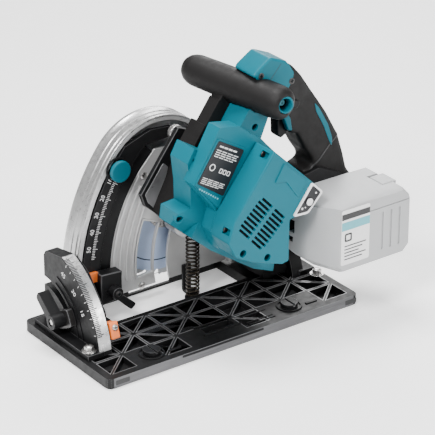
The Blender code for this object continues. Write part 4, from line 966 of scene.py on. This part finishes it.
def build_housing():
    wells = screw_wells("housing", "head", head, HOUSING_WELLS, 4.0)
    dress("motor_housing", TEAL, 1.2, 3, cutters=(wells,))
    back = [(-207, 82), (-207, 57), (-192, 43), (-180, 37), (-178, 82)]
    slab("housing_back_cover", "head", head, back, 59.0, 62.0, TEAL, 0.8)
    ledge = rounded([(-219.6, 50.4), (-178.0, 46.2), (-176.4, 34.0), (-219.2, 49.6)], 1.0)
    slab("label_ledge", "head", head, ledge, LABEL_FACE_Y - 1.6, LABEL_FACE_Y + 0.5, TEAL, 0.6)
    dots = Shape(head, "Y")
    for index in range(9):
        x = -214.0 + index * 3.6
        dots.prism(rounded(rectangle((x, 46.6 - index * 0.42), (x + 2.0, 48.4 - index * 0.42)), 0.4),
                   LABEL_FACE_Y - 1.85, LABEL_FACE_Y - 1.2)
    dots.piece("ledge_marks", "head", PRINT_TEAL)
    build_rating_plate()


# Each printed line has its z, its height and the shares of the plate's width where it starts and ends
PRINTED_LINES = ((98.2, 1.7, 0.10, 0.80), (93.6, 0.9, 0.06, 0.94), (91.2, 0.9, 0.06, 0.90),
                 (88.8, 0.9, 0.06, 0.94), (86.4, 0.9, 0.06, 0.84), (60.6, 0.8, 0.06, 0.96),
                 (58.6, 0.8, 0.06, 0.93), (56.6, 0.8, 0.06, 0.96), (54.6, 0.8, 0.06, 0.80))
PRINTED_WIDTH = 38.0
WORDS = 4


def build_rating_plate():
    """The label with bars in place of words, outlined marks and a seat round it."""
    dress("rating_plate", PLATE, 0.3, 2)
    level = (LABEL_FACE_Y - 1.62, LABEL_FACE_Y - 1.4)
    lines = Shape(head, "Y")
    for z, height, start, end in PRINTED_LINES:
        left = -218.4 + (z - 52.0) * 0.07
        for index in range(WORDS):
            a = start + (end - start) * index / WORDS
            b = start + (end - start) * (index + 0.82) / WORDS
            lines.prism(rectangle((left + a * PRINTED_WIDTH, z - height / 2),
                                  (left + b * PRINTED_WIDTH, z + height / 2)), *level)
    lines.frame_ring(circle(4.0, 24, (-209.0, 74.0)), circle(2.9, 24, (-209.0, 74.0)), *level)
    for index in range(3):
        x = -198.0 + index * 5.6
        lines.frame_ring(rounded(rectangle((x, 70.6), (x + 4.4, 76.0)), 1.2),
                         rounded(rectangle((x + 0.9, 71.5), (x + 3.5, 75.1)), 0.7), *level)
    lines.piece("rating_plate_lines", "head", PRINT_WHITE)
    seat = Shape(head, "Y")
    plate = [(-215.5, 103), (-177, 103), (-177.8, 48.5), (-219, 52)]
    grown = [(-217.5, 105.2), (-175.0, 105.2), (-175.8, 46.4), (-221, 49.8)]
    seat.frame_ring(rounded(grown, 3.0), rounded(plate, 2.0), LABEL_FACE_Y - 1.0, LABEL_FACE_Y + 0.3)
    seat.piece("rating_plate_seat", "head", TEAL, 0.4)


def build_grip_housing():
    dress("grip_housing", RUBBER, 2.2, 3)
    dress("gear_case", CAST_SILVER, 0.9, 3)
    dress("mode_link", BLACK, 0.8, 2, DULL_EDGE)
    inlay = rounded([(-199, 50), (-204, 10), (-196, 3), (-181, -2), (-181, 6), (-190, 48)], 2.0)
    slab("link_inlay", "head", head, inlay, 97.6, 98.8, WORN_EDGE, 0.4)
    low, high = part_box("mode_knob")
    centre = (low + high) / 2
    profile = [(7.0, 0.0), (8.4, 0.4), (8.9, 1.0), (8.9, 2.0), (8.1, 2.3), (8.1, 2.9), (8.9, 3.2),
               (8.9, 4.4), (8.1, 4.7), (8.1, 5.3), (8.9, 5.6), (8.6, 6.6), (6.0, 6.7)]
    knob = Shape().lathe(Vector((centre.x, low.y, centre.z)), FARWARDS, profile, 56, 0.35)
    knob.piece("mode_knob_knurled", "mode_knob", STEEL, replaces=("mode_knob",))


# ---- handles

BAR_MOUTH = edge(229.6, -2.2, 274.2)
BAR_MOUTH_AXIS = Vector((0.2, 0.97, -0.1))


def build_bar_mouth(bar):
    """The round opening in the near end of the front grip, with its ring, floor and hub."""
    at = (BAR_MOUTH, BAR_MOUTH_AXIS)
    boolean(bar, "mouth", cutter(Shape().lathe(*at, [(9.6, -8.0), (9.6, 16.0)], 40), "bar_mouth", "head"))
    ring = [(9.5, 15.0), (9.5, -2.4), (9.0, -3.2), (7.8, -3.2), (7.2, -2.4), (6.9, 0.0), (6.9, 15.0)]
    turning("bar_ring", "head", *at, ring, 48, TEAL, replaces=("grip_ring",))
    # The floor deep in the mouth is near-black painted shade
    turning("bar_ring_floor", "head", *at, [(7.0, 11.0), (7.0, 13.0), (3.0, 13.0)], 32, PAINTED_HOLE_SHADE)
    hub = [(3.6, 12.0), (3.6, 7.6), (2.8, 6.8), (1.6, 6.8), (1.4, 8.5), (0.4, 8.5)]
    turning("bar_ring_hub", "head", *at, hub, 28, PRINT_TEAL)


def build_front_grip():
    near = edge(*BAR_NEAR)
    along = edge(*BAR_FAR) - near
    length = along.length / MM
    profile = [(0.3, -3.4), (6.0, -3.0), (11.0, -1.8), (14.6, 0.4), (16.8, 3.4), (18.2, 7.0), (18.8, 12.0),
               (19.1, 18.0), (19.0, length * 0.32), (18.8, length * 0.55), (18.3, length * 0.78),
               (17.8, length - 4.0), (16.6, length + 1.5), (14.6, length + 6.0), (11.2, length + 10.0),
               (6.6, length + 12.4), (2.0, length + 13.2), (0.3, length + 13.3)]
    bar = turning("front_bar", "head", near, along, profile, 64, RUBBER, replaces=("front_grip",))
    build_bar_mouth(bar)
    saddle = [(-192.5, 128), (-191.5, 147), (-150, 149), (-132, 130)]
    slab("bar_saddle", "head", head, saddle, 62.6, 79.6, RUBBER, 1.0)
    yoke = [(-176, 134), (-174, 150), (-150, 151), (-148, 134)]
    slab("bar_yoke", "head", head, yoke, 30.6, 61.6, TEAL, 1.0)


HANDLE_OUTLINE = [(-186, 181), (-186, 186), (-177, 202), (-158, 205), (-143, 205), (-125, 199), (-92, 184),
                  (-66, 171.5), (-36, 153.5), (-16, 135.5), (-2, 121), (14, 114), (-42, 84), (-66, 100),
                  (-54, 112), (-62, 118), (-75, 124), (-96, 137), (-107, 134), (-122, 148), (-146, 152),
                  (-146, 168), (-158, 176)]
NOSE_OUTLINE = [(-191, 178), (-189.5, 184), (-179, 204), (-155, 206.8), (-138, 200), (-134, 191),
                (-135.5, 179), (-142, 173), (-160, 173)]
HANDLE_NEAR, HANDLE_FAR = HANDLE_Y
HANDLE_MIDDLE = sum(HANDLE_Y) / 2


def smooth_step(value):
    t = min(1.0, max(0.0, value))
    return t * t * (3.0 - 2.0 * t)


def handle_width(x, z):
    """Share of the full width: slim in the grip, wide at the nose and in the flared foot."""
    slim = smooth_step((x + 132.0) / 34.0)
    foot = smooth_step((z + x * 0.35 - 128.0) / -30.0)
    return 1.0 - 0.17 * slim * (1.0 - foot)


def handle_mesh():
    """The whole handle as one soft form."""
    blank = Shape(head, "Y").prism(HANDLE_OUTLINE, *HANDLE_Y).mesh("handle_blank")
    helper = added("handle_blank", blank)
    bevel = round_edges(helper, 10.0, 4, 50.0)
    bevel.use_clamp_overlap = True
    fine = helper.modifiers.new("fine", "REMESH")
    fine.mode = "VOXEL"
    fine.voxel_size = 1.5 * MM
    smooth = helper.modifiers.new("smooth", "SMOOTH")
    smooth.iterations = 16
    smooth.factor = 0.5
    bpy.context.view_layer.update()
    mesh = settled_mesh(helper)
    bpy.data.objects.remove(helper, do_unlink=True)
    cos = math.cos(HEAD_TILT)
    sin = math.sin(HEAD_TILT)
    middle = DATUM.y + HANDLE_MIDDLE * MM
    for vertex in mesh.vertices:
        dx = (vertex.co.x - PIVOT.x) / MM
        dz = (vertex.co.z - PIVOT.z) / MM
        width = handle_width(dx * cos - dz * sin, dx * sin + dz * cos)
        vertex.co.y = middle + (vertex.co.y - middle) * width
    return mesh


def overlay(name, mesh, outline, low, high, lift, material):
    """A thin piece that follows the handle's surface inside an outline."""
    area = cutter(Shape(head, "Y").prism(outline, low, high), name + "_area", "head")
    piece = settle(mesh.copy(), name, "head", material)
    swell = piece.modifiers.new("swell", "DISPLACE")
    swell.strength = lift * MM
    swell.mid_level = 0.0
    boolean(piece, "area", area).operation = "INTERSECT"


def build_handle():
    mesh = handle_mesh()
    soft = [(-90, 176.0), (-80, 172.5), (-58, 159.5), (-43.0, 146.5), (-39.0, 138.0), (-46, 142.5),
            (-64, 156.5), (-82, 167.5)]
    overlay("handle_inlay", mesh, rounded(soft, 2.5), HANDLE_NEAR - 3.0, HANDLE_MIDDLE - 2.0, 0.35, TEAL)
    crease = [(-33.0, 165.0), (-31.0, 165.0), (-57.0, 101.0), (-59.0, 101.0)]
    overlay("handle_crease", mesh, crease, HANDLE_NEAR - 3.0, HANDLE_FAR + 3.0, 0.3, PRINT_BLACK)
    settle(mesh, "handle_grip", "head", RUBBER, replaces=("handle_shell_near", "handle_shell_far"))
    slab("handle_nose", "head", head, NOSE_OUTLINE, HANDLE_NEAR - 0.2, HANDLE_FAR + 0.2, TEAL, 3.2, 4)
    web = [(-150, 175), (-147, 151), (-124, 147), (-112, 137), (-106, 139), (-116, 151), (-132, 159),
           (-138, 176)]
    slab("handle_web", "head", head, web, HANDLE_NEAR - 0.6, HANDLE_NEAR + 6.0, TEAL, 1.6, 4)
    seam = [(-162.4, 202.0), (-161.8, 202.0), (-167.0, 178.0), (-167.6, 178.0)]
    slab("nose_seam", "head", head, seam, HANDLE_NEAR - 0.3, HANDLE_NEAR + 0.4, PRINT_BLACK)
    centres = [head(x, HANDLE_NEAR - 0.2, z) for x, z in ((-137.4, 189.0), (-181.0, 181.8))]
    screws("handle_screws", "head", centres, NEARWARDS, 3.7, 0.7)
    dress("trigger", BLACK, 2.0, 3)
    dress("lock_off_button", BLACK, 1.2, 3)


# ---- battery and inside

PACK_FACE_Y = BATTERY_LOW[1] + 0.6


def battery_slots():
    """Grooves across the pack, the gap round its button and the slits in its near face."""
    low = BATTERY_LOW
    high = BATTERY_HIGH
    slots = Shape(edge, "Y")
    for z in (98.0, 130.0):
        slots.prism(rectangle((low[0] - 2, z - 3.0), (high[0] + 2, z + 3.0)), high[1] - 7.2, high[1] + 2.0)
    slots.prism(rectangle((low[0] - 2, 106.5), (314.0, 121.5)), high[1] - 9.4, high[1] + 2.0)
    slots.axis = "Z"
    slots.prism(rectangle((high[0] - 26.0, -24.0), (high[0] - 2.0, 4.0)), high[2] - 10.0, high[2] + 2.0)
    slots.axis = "Y"
    for x in (334.0, 346.0, 358.0):
        slots.prism(rounded(rectangle((x, 88.0), (x + 3.0, 134.0)), 1.4), low[1] - 2.0, PACK_FACE_Y + 1.1)
    seam = [(low[0] - 4, 138.6), (high[0] + 4, 139.6), (high[0] + 4, 141.0), (low[0] - 4, 140.0)]
    slots.prism(seam, low[1] - 2.0, PACK_FACE_Y + 0.9)
    return slots


def build_battery():
    body = Shape(edge, "Y")
    near = [(274.5, 84), (282, 76.4), (366, 77), (374, 85), (374, 141), (364, 152), (300, 153.6), (277, 152)]
    middle = [(271.0, 82), (280, 74.2), (368, 74.6), (376.6, 83), (376.6, 143), (366, 154.6), (298, 155),
              (273, 153)]
    back = [(BATTERY_LOW[0], 84), (268, 74.2), (368, 74.6), (376.6, 83), (376.6, 143), (366, 154.6),
            (288, 155), (259, 148)]
    levels = ((near, PACK_FACE_Y), (middle, PACK_FACE_Y + 5.0), (back, -8.0), (back, BATTERY_HIGH[1]))
    body.skin([[body.vert(x, z, y) for x, z in ring] for ring, y in levels])
    tool = cutter(battery_slots(), "battery_slots", "battery")
    shell = body.piece("battery_shell", "battery", PALE, replaces=("battery_pack",))
    boolean(shell, "slots", tool)
    round_edges(shell, 1.6, 4)
    build_battery_label()
    dress("battery_button", PALE, 0.8, 2)


def build_battery_label():
    label = rounded(rectangle((277.5, 84.0), (317.0, 150.5)), 2.5)
    slab("battery_label", "battery", edge, label, PACK_FACE_Y - 0.35, PACK_FACE_Y + 0.6, LABEL_WHITE)
    print_level = (PACK_FACE_Y - 0.5, PACK_FACE_Y)
    marks = Shape(edge, "Y")
    marks.prism(rectangle((277.8, 139.0), (316.8, 146.0)), *print_level)
    for row in range(5):
        z = 106.0 - row * 4.0
        marks.prism(rectangle((282.0, z), (312.0 - (row % 3) * 5.0, z + 1.3)), *print_level)
    marks.frame_ring(rounded(rectangle((282.0, 112.0), (292.0, 122.0)), 2.0),
                     rounded(rectangle((284.0, 114.0), (290.0, 120.0)), 1.2), *print_level)
    marks.piece("battery_label_marks", "battery", PRINT_BLACK)
    stripe = rectangle((277.8, 126.0), (316.8, 136.0))
    slab("battery_label_stripe", "battery", edge, stripe, *print_level, PRINT_TEAL)


def build_inside():
    """Parts that show only through gaps and openings."""
    sharp = {"spindle": STEEL, "blade_gear": STEEL, "idler_shaft": STEEL, "rotor_shaft": STEEL,
             "rotor_core": DARK_STEEL, "cooling_fan": BLACK, "stator": COPPER, "controller_board": CIRCUIT,
             "motor_bearing_front": STEEL, "motor_bearing_rear": STEEL, "terminal_block": COPPER,
             "blade": BLADE_COAT}
    eased = {"inner_flange": STEEL, "outer_flange": STEEL, "blade_bolt": DARK_STEEL, "switch_body": BLACK}
    for looks, bevel in ((sharp, 0.0), (eased, 0.3)):
        for node, material in looks.items():
            dress(node, material, bevel)
    dress("battery_mount", BLACK, 2.0, 3)


for build in (build_camera, build_lights, build_floor, build_base, build_front_quadrant, build_clamps,
              build_case, build_depth_stop, build_brackets, build_spring, build_cap, build_housing,
              build_grip_housing, build_front_grip, build_handle, build_battery, build_inside):
    build()

bpy.context.view_layer.update()
